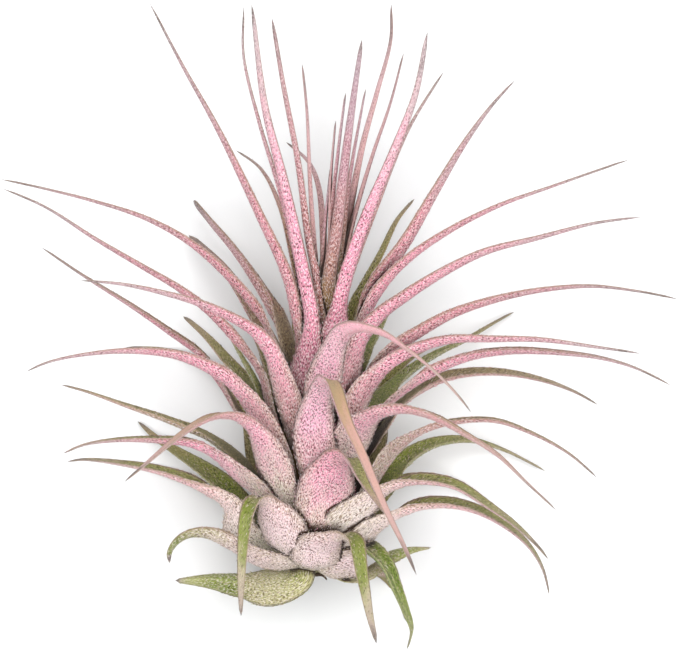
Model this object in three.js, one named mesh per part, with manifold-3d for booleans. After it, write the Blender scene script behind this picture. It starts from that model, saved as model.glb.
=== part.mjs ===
// Sky plant: a bare, blushed air plant that lies on its back.
// Every leaf is one solid: a broad sheath on the bulb, then a narrow channelled blade with a fine tip.
// Lengths are in millimetres, angles in degrees. In the leaf lists x runs to the right of the plant,
// y from the foot of the stem towards the leaf tips, and z up from the surface that the plant lies on.
import * as THREE from 'three';
import { mergeVertices } from 'three/addons/utils/BufferGeometryUtils.js';
import Module from 'manifold-3d';

const wasm = await Module();
wasm.setup();

// The stem's axis starts at the foot and rises a little towards the leaf tips
const FOOT = new THREE.Vector3(0, 0, 19);
const AXIS = new THREE.Vector3(0.056, 1, 0.21).normalize();

// The heart is a spindle round the axis: distance along the axis, radius
const HEART = [
  [-0.5, 0], [0, 3], [2.5, 6], [6, 7.4], [12, 7.8], [18, 6.8],
  [24, 5.2], [30, 3.8], [36, 2.6], [42, 1.6], [49, 0],
];
const HEART_SIDES = 14;

// The dried root end below the foot: distance along the axis, radius
const STUB = [[-2.7, 0], [-2.5, 0.7], [-1.9, 1.1], [-1.3, 1], [-0.85, 1.5], [-0.85, 0]];
const STUB_SIDES = 9;

// The gap that leaves keep to each other and to the stem
const CLEARANCE = 0.3;

// A leaf's thickness and shape: the sheath is widest half way along, and narrows to the blade
const SHEATH_THICK = 1;
const BLADE_THICK = 0.85;
const TIP_THICK = 0.6;
const TIP_WIDTH = 0.6;
const SHEATH_FOOT_SHARE = 0.75;
const SHEATH_WIDEST = 0.5;

// A root sits lower on the stem than the first listed point, and just inside the heart's surface
const ROOT_DROP = 5.5;
const ROOT_DEPTH = 0.8;
const LOWEST_ROOT = 0.8;

// Half angle of the arc that a section follows: the most on the sheath (as a sine), on the blade, at the tip
const MOST_WRAP = 0.9;
const CHANNEL_ANGLE = 76;
const TIP_ANGLE = 60;

// Where along the sheath's length the roll of a blade starts and ends
const ROLL_STARTS = 0.5;
const ROLL_ENDS = 1.3;

// How finely a leaf is stepped, along it and round its section
const FINEST = 90;
const BEND_SHARE = 0.35;
const STATIONS_STRAIGHT = 8;
const DEGREES_A_STATION = 30;
const OUTER_STEPS = [-1, -0.55, 0, 0.55, 1];
const INNER_STEPS = [0.45, -0.45];

const FLOOR_SIZE = 400;
const ROUGHNESS = 0.85;
const MERGE_WITHIN = 1e-5;
const ROUNDING = 1e-9;

const TONES = {
  silver: 0xcdb9b4,
  pink: 0xe79db0,
  rose: 0xcf8fa0,
  dusky: 0xb98e92,
  olive: 0x8f9a6a,
  green: 0x97ad4e,
  heart: 0xb98790,
  root: 0x5b4a42,
};

// A leaf: name, tone, shape, then the points of its middle line. In the shape, sheath is [width, length]
// and blade is a width. A full above 1 keeps the sheath broad for longer, roll turns the blade's inner
// face up, and tip is the width of the blade's end. The outer face looks straight out from the stem at
// the root, or else the way that faces says.
function leaf(name, tone, { sheath, blade, full = 1, roll = 0, tip = TIP_WIDTH, faces = null }, ...points) {
  const [sheathWidth, sheathLength] = sheath;
  return {
    name, tone, sheathWidth, sheathLength, bladeWidth: blade, full, roll, tipWidth: tip, faces,
    points: points.map((place) => new THREE.Vector3(...place)),
  };
}

// The separate leaves, the outermost and lowest rooted first
const LEAVES = [
  // Short leaves at the foot
  leaf('foot_1', 'green', { sheath: [6.2, 12], blade: 3.8, full: 1.4 },
    [-2.4, -1.6, 21.4], [-6.2, -3.1, 20.2], [-10.6, -2.9, 19], [-15.6, -2.3, 18.4], [-20.9, -2.3, 18.6]),
  leaf('foot_2', 'silver', { sheath: [5.8, 14], blade: 3.8, faces: [-0.2, -0.5, 0.8] },
    [-3.4, 0.2, 24.6], [-6.6, 0.5, 25.4], [-9.6, 1.5, 25.6], [-12.3, 3.1, 25.4], [-14.3, 4.2, 25.4],
    [-16.6, 4.8, 25.6], [-18.8, 4.6, 25.6], [-20.5, 3.6, 25.2], [-21.6, 2, 24.4], [-21.7, 0.4, 23.8]),
  leaf('foot_3', 'silver', { sheath: [6.4, 14], blade: 3.4, faces: [0.1, -0.35, 1] },
    [1.2, -0.6, 25], [3, -0.2, 26.4], [5.2, 0.1, 27.2], [7.6, 0.6, 27]),
  leaf('foot_4', 'green', { sheath: [5.6, 11], blade: 3.6 },
    [5.2, -1.5, 22.5], [7.8, -1.1, 22.3], [11.7, 1.5, 22], [14.4, 2.4, 21.5], [17.6, 2.7, 20.4]),
  leaf('under_1', 'olive', { sheath: [7, 12], blade: 3.2 },
    [-3, -1.4, 12.5], [-6, -3, 7.2], [-8.6, -3.1, 2.4], [-11.4, -2.9, 0.35], [-16, -2.6, 0.35],
    [-19, -2.6, 1.2]),
  leaf('under_2', 'olive', { sheath: [7, 12], blade: 3.2 },
    [4.6, -0.4, 12.5], [8, -0.9, 6.6], [10.6, -1.8, 2.2], [12.2, -3.6, 0.35], [13.4, -6.4, 0.35],
    [14.2, -9, 1.2]),
  leaf('under_3', 'olive', { sheath: [6.4, 10], blade: 2.6 },
    [1.2, -1, 12.4], [3.2, -1.2, 8.4], [5.4, -1.4, 5.2], [8, -1.6, 3.6]),
  // The lowest ring of the bulb
  leaf('front_1', 'silver', { sheath: [7.8, 14], blade: 3.6, full: 2.2, roll: 26 },
    [0.2, 0.4, 28], [0.7, 2.6, 30.6], [2.7, 4.2, 33.4], [4.9, 4.7, 35.8], [6.1, 3.8, 37.3], [6.5, 2, 38.2],
    [6.9, -0.4, 38], [7.5, -3.4, 36.8], [8.3, -7.4, 34.4], [9.4, -11.6, 31.5]),
  leaf('foot_5', 'green', { sheath: [6.6, 9], blade: 3.9 },
    [6.9, 3, 26.8], [8.8, 2.2, 28.4], [10.7, 0.2, 29.2], [12.2, -3.2, 28.8], [13.6, -6.6, 27],
    [14.6, -9.6, 24.4], [14, -12.6, 21]),
  leaf('front_2', 'silver', { sheath: [8.6, 17.5], blade: 3.4, full: 2.2 },
    [-3.8, 2.9, 29], [-5.2, 6.4, 31.8], [-6.8, 9.4, 34.2], [-8.1, 10.2, 36.2], [-9.2, 9.4, 37.8],
    [-9.9, 7.4, 38.6], [-10.3, 4.6, 38.9], [-10.6, 0.8, 38.5], [-10.8, -3.6, 37], [-10.9, -7.4, 34.6]),
  leaf('right_1', 'silver', { sheath: [9, 17], blade: 4.2, roll: 40 },
    [7.2, 3.8, 27.4], [9, 5.4, 27.2], [12.6, 7.8, 26.8], [15.9, 9.1, 26.8], [20.4, 9.3, 27.2],
    [24.8, 8.2, 27.9], [29.2, 5.7, 27.8], [32.4, 2.8, 27], [34.4, -0.6, 25.8], [35.4, -4.5, 24]),
  leaf('left_1', 'silver', { sheath: [6.4, 17], blade: 4.5, roll: 70, faces: [-0.5, -0.4, 0.75] },
    [-10.7, 4.2, 21], [-12.4, 8.6, 21.4], [-16.4, 11.6, 21.8], [-22.9, 14.1, 22.6], [-29.6, 15.4, 23],
    [-34.6, 15.9, 22.4], [-37.2, 15.6, 21.6]),
  leaf('right_2', 'silver', { sheath: [9.6, 18], blade: 4, roll: 53 },
    [4.8, 5.6, 30.2], [7.4, 8.2, 30.8], [10.2, 11, 31], [13.2, 12.6, 31.6], [17.2, 12.9, 32.6],
    [21.4, 12, 33.6], [26.2, 9, 34], [30, 6.3, 33.6], [33.4, 3.1, 32.9], [35.2, 1, 32]),
  leaf('front_3', 'pink', { sheath: [9, 20], blade: 4.8, full: 2 },
    [1.2, 6.2, 31.8], [1.7, 10.4, 33.9], [2.5, 14.2, 36.6], [3.7, 16.1, 39.2], [5, 16.4, 41.4],
    [6, 15.3, 43.4], [7, 13.3, 45], [8.6, 10.8, 46.2], [10.8, 7.8, 46.6]),
  leaf('left_2', 'green', { sheath: [8, 15], blade: 4.4, roll: 25 },
    [-10.2, 8, 16.6], [-12.4, 10.5, 14], [-16.2, 13.8, 9.8], [-20.4, 16.6, 5.6], [-24, 19, 2.4],
    [-26.8, 21.6, 0.8]),
  leaf('right_3', 'green', { sheath: [5.6, 13], blade: 3.6, roll: 24 },
    [10.8, 11.2, 16.4], [12.6, 14.4, 14.2], [15.2, 16.8, 11.2], [19, 18.4, 8.4], [23.6, 18.7, 5.8],
    [28.8, 17.2, 3], [35.1, 14, 0.9]),
  leaf('left_3', 'silver', { sheath: [9.4, 18], blade: 3.8, roll: 13 },
    [-8.4, 11.1, 26.4], [-11.4, 13.6, 26.4], [-14.6, 16.5, 26.6], [-18.2, 18.4, 27.2], [-23, 18.9, 28.4],
    [-29.6, 18.9, 29.8], [-34.4, 18.2, 30], [-37.6, 16.9, 29.4]),
  leaf('under_4', 'olive', { sheath: [8.4, 15], blade: 2.6 },
    [-8, 5, 12.4], [-12.4, 8.4, 8.6], [-17, 11.8, 5.2], [-22.6, 13.9, 2.4], [-28, 15.2, 0.9]),
  leaf('under_5', 'olive', { sheath: [8.4, 15], blade: 2.6 },
    [7.6, 7, 12.6], [11.2, 11.6, 9], [16, 13.3, 5.8], [21.6, 11.8, 3], [27.6, 8.2, 1]),
  leaf('front_4', 'pink', { sheath: [7, 20], blade: 3.4, full: 1.4 },
    [-5.3, 11.4, 30.6], [-6.2, 15, 32.6], [-7.6, 18.5, 35], [-9.6, 21.2, 37.6], [-11.8, 22.5, 39.8],
    [-14.4, 22.6, 42], [-17.2, 21.5, 44.2], [-21, 18.8, 46.2], [-24.8, 15.6, 47.2], [-28.2, 12.8, 47.4]),
  leaf('right_4', 'pink', { sheath: [7, 20], blade: 3.8, full: 1.4, roll: 8 },
    [4, 15, 31.6], [5.4, 18.6, 34], [7, 21.2, 37], [9.8, 23, 40.4], [13.4, 23.6, 43.2], [17.6, 22.6, 45.6],
    [22.4, 20, 47.4], [27.4, 16.8, 48.4], [31.8, 12.6, 47.8], [36.2, 8.5, 46]),
  leaf('right_5', 'dusky', { sheath: [7.2, 18], blade: 2.6, roll: 20 },
    [9.3, 13.2, 26], [11, 16, 25.8], [13.4, 18.4, 25.6], [17.3, 20.7, 26.2], [21.5, 21.7, 27.4],
    [27.2, 21.8, 28.4], [32.5, 20, 28.4], [37.9, 17.1, 27.2], [42.6, 13.2, 25.4]),
  leaf('left_4', 'dusky', { sheath: [7, 17], blade: 2.9, roll: -5 },
    [-10.2, 14.4, 20.8], [-12.6, 16.8, 20.8], [-16.2, 19.4, 21.2], [-21.8, 21.8, 22.4], [-28.4, 24.1, 24.6],
    [-34, 26.1, 26.4], [-38, 27.2, 27.2]),
  leaf('front_5', 'pink', { sheath: [6.6, 24], blade: 3 },
    [0.6, 14.2, 33.4], [0, 19.6, 35.8], [0.4, 24, 38.8], [1.2, 27, 42.4], [2, 27.9, 45], [2.9, 27, 47.8],
    [3.7, 24.8, 50.6], [4.8, 21.6, 53], [6.6, 17.9, 55], [8.6, 13.4, 56.6], [10.8, 8.4, 57], [13.2, 3.6, 56],
    [15.3, -1, 54]),
  // The middle ring
  leaf('left_5', 'pink', { sheath: [5.8, 22], blade: 4.2, roll: 16 },
    [-5.2, 16.5, 29.8], [-7.4, 21, 30.8], [-9, 23.6, 31.4], [-11, 26, 32.2], [-13.2, 28.2, 33.2],
    [-16.4, 30.1, 34.6], [-20.8, 31.7, 36.2], [-27.3, 32.3, 38.2], [-34, 31.8, 39.4], [-39.4, 30.7, 39.6],
    [-43, 29.2, 39]),
  leaf('right_6', 'olive', { sheath: [6, 16], blade: 3, roll: 8 },
    [10.4, 20.6, 21], [12.4, 23.6, 20.4], [14.8, 25.6, 20.2], [18.8, 27.9, 20], [23.4, 28.9, 20.2],
    [28.8, 28.9, 20], [34.2, 27.9, 18.8], [39, 26.2, 16.6], [42.9, 24.1, 14.2]),
  leaf('right_7', 'pink', { sheath: [6, 18], blade: 4.4 },
    [8.8, 20.6, 25.2], [11.2, 24.2, 25.4], [14.4, 26.9, 26], [18.4, 29.6, 27], [23.4, 31.5, 28.6],
    [29.4, 32.3, 30.6], [35.7, 32.1, 32], [42.6, 31.3, 32.4], [48, 29.8, 31.8], [53.6, 27.1, 30.8]),
  leaf('right_8', 'green', { sheath: [6.4, 16], blade: 2.8 },
    [8.6, 22.4, 18.2], [11, 25.9, 15.2], [14.4, 29.1, 11.8], [18.6, 31.8, 8.4], [23, 33.9, 4.8],
    [27, 36.3, 2.2], [30.4, 38.2, 0.9]),
  leaf('left_6', 'dusky', { sheath: [5.8, 18], blade: 3.3, roll: -10 },
    [-9.2, 19.4, 22.6], [-11.8, 23.6, 22.6], [-14, 27.4, 23.2], [-17, 31.7, 24.8], [-21.6, 35.1, 27],
    [-27.6, 39.2, 30.4], [-34.6, 43.6, 34], [-40.8, 47.8, 37]),
  leaf('left_7', 'olive', { sheath: [5.4, 14], blade: 2.8, roll: 14, tip: 1 },
    [-7.4, 23.6, 19.2], [-10.2, 27.3, 16.2], [-13, 30.5, 12.8], [-16.2, 34.2, 8.6], [-19.8, 37.5, 4.6]),
  leaf('under_6', 'olive', { sheath: [9.4, 20], blade: 2.6 },
    [-5, 12, 13], [-9, 20, 10.2], [-13, 27, 6.8], [-18, 31, 3.2], [-23, 32.4, 0.7], [-28.6, 32.8, 0.05]),
  leaf('under_7', 'olive', { sheath: [9.4, 20], blade: 2.6 },
    [6, 15, 13.2], [9.2, 24, 10.2], [13, 30, 6.8], [18, 33.2, 3.2], [23, 34.2, 0.7], [28.4, 34, 0.05]),
  leaf('under_8', 'olive', { sheath: [9.6, 30], blade: 2.8 },
    [-0.8, 7, 9.8], [-1.4, 16, 8.8], [-2, 26, 6], [-2.4, 33, 2.4], [-2.6, 37.6, 0.3], [-2.4, 42.6, 0.3],
    [-2, 46, 1]),
  leaf('under_9', 'olive', { sheath: [9, 30], blade: 2.6 },
    [3, 11, 11.2], [4.6, 20, 10], [6, 29, 6.6], [6.8, 36, 3], [7.2, 41, 1.2]),
  leaf('left_8', 'olive', { sheath: [4.4, 12], blade: 1.9 },
    [-7.4, 24.4, 22], [-9.2, 28.2, 19.6], [-11, 31.4, 16.4], [-13.2, 35.2, 12]),
  leaf('left_9', 'pink', { sheath: [4.8, 20], blade: 3.6, roll: 14 },
    [-3, 21.4, 31.6], [-3.8, 24.6, 33], [-4.8, 27.6, 34.6], [-6.6, 32.2, 37.2], [-8.8, 35, 39.2],
    [-11.6, 36.8, 41], [-16.4, 39.1, 43.2], [-22, 40.8, 45.2], [-28.4, 42.2, 46.6], [-34.8, 42.8, 47]),
  leaf('right_9', 'pink', { sheath: [4.8, 18], blade: 3.3, roll: 20 },
    [5.6, 22, 30.8], [7.2, 26, 31.6], [9.6, 28.8, 32.2], [12.4, 31, 33], [15.6, 32.6, 34.2], [20.4, 33.9, 36],
    [27, 34, 37.6], [34, 33.9, 38.2], [41.8, 32.9, 38], [48.9, 31.9, 37]),
  leaf('front_6', 'pink', { sheath: [5.4, 20], blade: 3.3 },
    [0.6, 24.4, 33.2], [1.6, 28.4, 35.2], [2.8, 32.2, 38.4], [4.2, 34.8, 42], [6, 35.7, 45.2],
    [8.4, 35.5, 48.4], [11, 34.6, 51], [14, 32.5, 53.4], [17.4, 29.8, 55.4], [20.6, 26.6, 56.6],
    [23.4, 23.2, 57]),
  leaf('left_10', 'rose', { sheath: [4.8, 18], blade: 3.4, roll: -2 },
    [-6.6, 23.6, 26.6], [-8.1, 29, 27.6], [-11.4, 33.6, 28.8], [-15.4, 37.9, 30.2], [-20, 41.5, 31.8],
    [-26.2, 45.2, 33.8], [-32.8, 49.1, 35.8], [-40, 53.7, 37.2], [-46.6, 56.6, 37.8]),
  leaf('right_10', 'rose', { sheath: [5, 17], blade: 4.5, roll: -3 },
    [7.3, 25.6, 26.6], [8.6, 29, 27.4], [11.2, 32.2, 28.8], [15.4, 34.9, 30.6], [20.8, 37.9, 32.8],
    [27.4, 40.1, 35], [34.4, 41.5, 36.8], [41.6, 42, 38], [48.6, 41.2, 38], [54.6, 40, 37.2]),
  leaf('right_11', 'pink', { sheath: [5, 17], blade: 3.8, roll: 22 },
    [5, 25.4, 30], [5.6, 30.2, 31.4], [6.9, 33.6, 32.4], [9.8, 37.4, 33.8], [13.8, 40.4, 35.6],
    [19.6, 44.1, 38], [25.8, 47.1, 40], [33.4, 49.1, 41.4], [41.8, 51.3, 42.2], [49, 52.3, 41.8]),
  leaf('right_12', 'green', { sheath: [4.2, 12], blade: 2 },
    [7, 29.6, 22.6], [8.6, 33, 20.2], [10.2, 36, 17], [12.2, 40.4, 12]),
  leaf('left_11', 'olive', { sheath: [4.2, 12], blade: 1.9, roll: 10 },
    [-5.6, 25, 21.8], [-7, 29, 19], [-8, 32, 16.6], [-9.4, 35, 14]),
  // The inner leaves
  leaf('left_12', 'rose', { sheath: [4.6, 16], blade: 3.7, roll: -12 },
    [-4.2, 29.6, 25.6], [-6.6, 35, 26.6], [-9, 39.2, 27.6], [-13.7, 44.4, 29], [-18.8, 48.7, 30.6],
    [-25.2, 52.2, 32.4], [-32.8, 54.7, 34.4], [-40, 56.5, 35.6], [-47, 58, 36]),
  leaf('left_13', 'olive', { sheath: [4.4, 14], blade: 2.8, roll: 8, tip: 1.4 },
    [-5.6, 31.4, 21.4], [-8, 35.4, 18.6], [-10.6, 40, 15], [-14, 45, 10.4], [-19, 49.8, 5.4]),
  leaf('left_14', 'rose', { sheath: [4.2, 14], blade: 4.6, roll: -30, tip: 2.4 },
    [-3.4, 31, 21.6], [-5.6, 37.4, 19.8], [-8.8, 43, 17.2], [-12, 47.5, 13.6], [-15.4, 51.5, 10],
    [-18.3, 55, 6.6]),
  leaf('right_13', 'pink', { sheath: [4.4, 16], blade: 3.6, roll: 14 },
    [5.4, 31.4, 28], [7.6, 36.8, 29.2], [9.8, 41.4, 30.4], [14, 46, 32.4], [20.4, 50.4, 35], [28, 54.2, 37.6],
    [35.9, 57, 39.4], [47.2, 60.9, 40.4]),
  leaf('right_14', 'rose', { sheath: [4.4, 15], blade: 4.6, roll: -25 },
    [4.8, 31.6, 25.6], [6.8, 36.8, 26.4], [9.6, 42.6, 27.6], [13.8, 48.4, 29.2], [18, 55.6, 31],
    [22.4, 63, 33], [26.6, 68.9, 34.6], [30.2, 72.9, 35.6]),
  leaf('right_15', 'olive', { sheath: [3.6, 12], blade: 1.8 },
    [4.2, 33.4, 22.6], [6, 39, 20.8], [8, 42.8, 18.4], [10.2, 47, 14.4], [12.6, 52, 9.6], [15.2, 55.3, 6]),
  leaf('left_15', 'rose', { sheath: [3.8, 15], blade: 3.7, roll: -20 },
    [-2.4, 29, 25.2], [-2.6, 36, 26.8], [-3.9, 42.8, 28.8], [-8.7, 53.6, 32.2], [-14.6, 65.8, 36],
    [-19.6, 74.8, 39], [-24.6, 84.4, 41.6]),
  leaf('left_16', 'pink', { sheath: [6, 18], blade: 2.6 },
    [-1.6, 25.4, 30.2], [-0.8, 32, 31.2], [-0.5, 37, 31.8], [-2, 45.2, 33.2], [-4.8, 58.2, 36],
    [-7.4, 68.8, 38.6], [-9.3, 84.2, 41.6]),
  leaf('right_16', 'pink', { sheath: [5, 16], blade: 2.4 },
    [2.8, 30.6, 30.4], [3.5, 36.8, 32.4], [4.7, 42.8, 34], [8, 52.5, 36.4], [11.8, 61.6, 38.6],
    [15.2, 70.6, 40.4], [17, 80, 41.6]),
  leaf('left_17', 'olive', { sheath: [3, 12], blade: 1.8 },
    [-1.2, 33, 27.2], [-2.6, 45, 29.6], [-5, 55.6, 32], [-8.4, 67, 34], [-10.6, 76.6, 35.4],
    [-10.5, 84, 36.4]),
  leaf('left_18', 'dusky', { sheath: [3, 11], blade: 1.6 },
    [-1.4, 36.8, 23.6], [-3.2, 46, 20.8], [-5.2, 54, 17], [-8, 59.6, 13], [-11.8, 62.6, 9]),
  leaf('left_19', 'rose', { sheath: [3.6, 12], blade: 1.4 },
    [0.7, 33.6, 29], [0.6, 41, 29.8], [-0.9, 49.2, 31], [-2.5, 61, 33.2], [-4.6, 72, 35.4], [-6.3, 82.2, 37]),
  leaf('right_17', 'dusky', { sheath: [3.6, 12], blade: 1.8 },
    [3.6, 36, 27.4], [5.4, 43, 28.6], [9.2, 53.2, 30.4], [14.2, 65.4, 32], [19.5, 74.2, 32.6]),
];

// The nine youngest leaves, which stand out of the tip of the heart as one bunch
const YOUNG_LEAVES = [
  leaf('young_1', 'heart', { sheath: [2.2, 10], blade: 1.3 },
    [1.6, 36, 26.6], [1.1, 43.5, 28.5], [1.5, 50, 29.8], [2.4, 59.6, 31.6]),
  leaf('young_2', 'heart', { sheath: [2.2, 10], blade: 1.2 },
    [2.4, 40, 27.4], [2.6, 48.8, 30.4], [2.6, 57.4, 32], [3.3, 66.8, 34]),
  leaf('young_3', 'heart', { sheath: [2.2, 10], blade: 1.2 },
    [2.6, 40, 27.6], [2.8, 53, 31.2], [3.7, 62, 33], [4.8, 71, 34.8]),
  leaf('young_4', 'heart', { sheath: [3.2, 10], blade: 2.1 },
    [1.8, 35, 27.4], [2.2, 42.8, 30.6], [3.4, 50.8, 33], [5, 63.6, 36], [6.3, 72.8, 38], [7.2, 78.9, 39]),
  leaf('young_5', 'heart', { sheath: [2.4, 10], blade: 1.4 },
    [3, 40, 27.6], [4.2, 47, 29.6], [5.6, 59, 32], [7.8, 71.6, 34.6]),
  leaf('young_6', 'heart', { sheath: [2.8, 10], blade: 1.7 },
    [2.8, 38, 26.4], [4.8, 49.2, 28.4], [7.4, 63, 31], [9.5, 70.8, 32.8], [11.6, 79, 34.2], [11.6, 84.3, 35]),
  leaf('young_7', 'heart', { sheath: [2.4, 10], blade: 1.4 },
    [3, 38, 26.8], [5.6, 50.1, 29.4], [8.7, 61, 32], [11.6, 69.6, 34.2], [13.5, 77, 36]),
  leaf('young_8', 'heart', { sheath: [2.2, 9], blade: 1.3 },
    [1, 37, 26.2], [0, 47, 27.6], [-0.7, 58, 29.4], [-1.1, 68, 31.2], [-1.8, 75.4, 32.2]),
  leaf('young_9', 'heart', { sheath: [2.2, 9], blade: 1.3 },
    [1.4, 38, 25.4], [1.3, 50, 22.8], [0.6, 57, 19.8], [-0.8, 60.6, 17], [-4.2, 63.8, 12.6]),
];

const degrees = (angle) => THREE.MathUtils.degToRad(angle);

const mix = (from, to, share) => from + (to - from) * THREE.MathUtils.clamp(share, 0, 1);

const smooth = (share) => (1 - Math.cos(Math.PI * share)) / 2;

// How far along the axis a point lies, and the point of the axis beside it
function besideAxis(point) {
  const along = point.clone().sub(FOOT).dot(AXIS);
  return { along, onAxis: FOOT.clone().addScaledVector(AXIS, along) };
}

function heartRadius(along) {
  const i = HEART.findIndex(([a]) => a >= along);
  if (i < 1) return i < 0 ? 0 : HEART[0][1];
  const [a0, r0] = HEART[i - 1];
  const [a1, r1] = HEART[i];
  return mix(r0, r1, (along - a0) / (a1 - a0));
}

// A leaf's root: lower on the stem than its first point, on the same side, just inside the heart
function rootOf(point) {
  const { along, onAxis } = besideAxis(point);
  const outward = point.clone().sub(onAxis).normalize();
  const low = Math.max(along - ROOT_DROP, LOWEST_ROOT);
  return FOOT.clone().addScaledVector(AXIS, low).addScaledVector(outward, heartRadius(low) - ROOT_DEPTH);
}

// Fine steps along a leaf: place, direction, and the way its outer face looks, without twist
function followLeaf(points, faces) {
  const curve = new THREE.CatmullRomCurve3(points);
  const length = curve.getLength();
  const steps = [];
  let facing = faces ? new THREE.Vector3(...faces) : points[0].clone().sub(besideAxis(points[0]).onAxis);
  let effort = 0;
  let bentBy = 0;
  for (let i = 0; i <= FINEST; i += 1) {
    const along = curve.getTangentAt(i / FINEST);
    facing = facing.clone().addScaledVector(along, -facing.dot(along)).normalize();
    if (i > 0) {
      const bend = THREE.MathUtils.radToDeg(along.angleTo(steps[i - 1].along));
      bentBy += bend;
      effort += 1 / FINEST + (BEND_SHARE * bend) / 90;
    }
    const place = curve.getPointAt(i / FINEST);
    steps.push({ place, along, facing, distance: (length * i) / FINEST, effort });
  }
  return { steps, length, bentBy };
}

// The stations of a leaf's loft stand closer where it bends
function stationsOf({ steps, bentBy }) {
  const count = STATIONS_STRAIGHT + Math.round(bentBy / DEGREES_A_STATION);
  const last = steps[steps.length - 1].effort;
  const chosen = [];
  for (let k = 0; k <= count; k += 1) {
    chosen.push(steps.find((step) => step.effort >= (last * k) / count - ROUNDING));
  }
  return chosen;
}

// Half width, half angle of the channel and thickness at a distance from the root
function leafShape(row, distance, length, radius) {
  const { sheathWidth, sheathLength, bladeWidth, full, tipWidth } = row;
  const sheathHalf = sheathWidth / 2;
  const onSheath = distance / sheathLength;
  const onBlade = (distance - sheathLength) / (length - sheathLength);
  const wrap = Math.asin(Math.min(MOST_WRAP, sheathHalf / Math.max(radius, sheathHalf)));
  if (onSheath < 1) {
    const narrowing = (onSheath - SHEATH_WIDEST) / (1 - SHEATH_WIDEST);
    const swell = onSheath < SHEATH_WIDEST
      ? mix(SHEATH_FOOT_SHARE, 1, smooth(onSheath / SHEATH_WIDEST))
      : mix(1, bladeWidth / sheathWidth, smooth(narrowing ** full));
    return {
      half: sheathHalf * swell,
      angle: mix(wrap, degrees(CHANNEL_ANGLE), onSheath ** 3),
      thick: mix(SHEATH_THICK, BLADE_THICK, onSheath),
    };
  }
  return {
    half: mix(bladeWidth, tipWidth, onBlade) / 2,
    angle: degrees(mix(CHANNEL_ANGLE, TIP_ANGLE, onBlade)),
    thick: mix(BLADE_THICK, TIP_THICK, onBlade),
  };
}

// One section: the outer face from margin to margin, then the inner face back.
// A grown section makes room for a leaf.
function sectionOf({ half, angle, thick }, grow) {
  const wide = half + grow;
  const rise = half * Math.tan(angle / 2);
  const hollow = rise - thick;
  const lift = rise / 2;
  const outer = OUTER_STEPS.map((u) => [
    (wide * Math.sin(u * angle)) / Math.sin(angle),
    (rise * (Math.cos(u * angle) - Math.cos(angle))) / (1 - Math.cos(angle)) - lift + grow,
  ]);
  const steps = grow > 0 ? [1, ...INNER_STEPS, -1] : INNER_STEPS;
  const inner = steps.map((u) => [wide * u, hollow * (1 - u * u) - lift - grow]);
  return [...outer, ...inner];
}

// A closed body through rings of points, with a flat cap at each end
function loft(rings) {
  const around = rings[0].length;
  const places = rings.flat().flatMap((p) => [p.x, p.y, p.z]);
  const faces = [];
  for (let r = 0; r < rings.length - 1; r += 1) {
    for (let i = 0; i < around; i += 1) {
      const a = r * around + i;
      const b = r * around + ((i + 1) % around);
      faces.push(a, b, a + around, b, b + around, a + around);
    }
  }
  const lastRing = (rings.length - 1) * around;
  for (let i = 1; i < around - 1; i += 1) {
    faces.push(0, i + 1, i, lastRing, lastRing + i, lastRing + i + 1);
  }
  const geometry = new THREE.BufferGeometry();
  geometry.setAttribute('position', new THREE.Float32BufferAttribute(places, 3));
  geometry.setIndex(faces);
  return geometry;
}

// A rolled blade turns about its middle line, so that its inner face looks more upwards
function rolledFaces({ along, facing, distance }, { roll, sheathLength }) {
  const share = THREE.MathUtils.smoothstep(distance / sheathLength, ROLL_STARTS, ROLL_ENDS);
  const side = -Math.sign(along.clone().cross(facing).z);
  const turnedFacing = facing.clone().applyAxisAngle(along, degrees(roll) * share * side);
  return { facing: turnedFacing, across: along.clone().cross(turnedFacing) };
}

function leafGeometry(row, grow) {
  const path = row.points;
  const rooted = row.tone === 'heart' ? path : [rootOf(path[0]), ...path];
  const line = followLeaf(rooted, row.faces);
  const stations = stationsOf(line);
  const rings = stations.map((step, k) => {
    const radius = step.place.distanceTo(besideAxis(step.place).onAxis);
    const { facing, across } = rolledFaces(step, row);
    const end = k === 0 ? -grow : Number(k === stations.length - 1) * grow;
    const centre = step.place.clone().addScaledVector(step.along, end);
    return sectionOf(leafShape(row, step.distance, line.length, radius), grow).map(([x, y]) =>
      centre.clone().addScaledVector(across, x).addScaledVector(facing, y));
  });
  return loft(rings);
}

// Round bodies on the plant's axis
function roundBody(profile, sides, grow) {
  const outline = profile.map(([along, radius], i) => {
    const end = i === 0 ? -grow : Number(i === profile.length - 1) * grow;
    return new THREE.Vector2(radius > 0 ? radius + grow : 0, along + end);
  });
  const geometry = new THREE.LatheGeometry(outline, sides);
  const upright = new THREE.Quaternion().setFromUnitVectors(new THREE.Vector3(0, 1, 0), AXIS);
  return geometry.applyQuaternion(upright).translate(...FOOT.toArray());
}

function solidOf(geometry) {
  const bare = geometry.clone();
  bare.deleteAttribute('normal');
  bare.deleteAttribute('uv');
  const merged = mergeVertices(bare, MERGE_WITHIN);
  return new wasm.Manifold(new wasm.Mesh({
    numProp: 3,
    vertProperties: new Float32Array(merged.attributes.position.array),
    triVerts: new Uint32Array(merged.index.array),
  }));
}

function geometryOf(solid) {
  const mesh = solid.getMesh();
  const geometry = new THREE.BufferGeometry();
  const places = [];
  for (let i = 0; i < mesh.vertProperties.length; i += mesh.numProp) {
    places.push(...mesh.vertProperties.subarray(i, i + 3));
  }
  geometry.setAttribute('position', new THREE.Float32BufferAttribute(places, 3));
  geometry.setIndex([...mesh.triVerts]);
  geometry.computeVertexNormals();
  return geometry;
}

// Cutting a leaf can leave crumbs beside it, and only its largest body stays
function largestBody(solid) {
  const bodies = solid.decompose();
  return bodies.sort((a, b) => b.volume() - a.volume())[0];
}

function boxesMeet(a, b) {
  return [0, 1, 2].every((i) => a.min[i] < b.max[i] && b.min[i] < a.max[i]);
}

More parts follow.
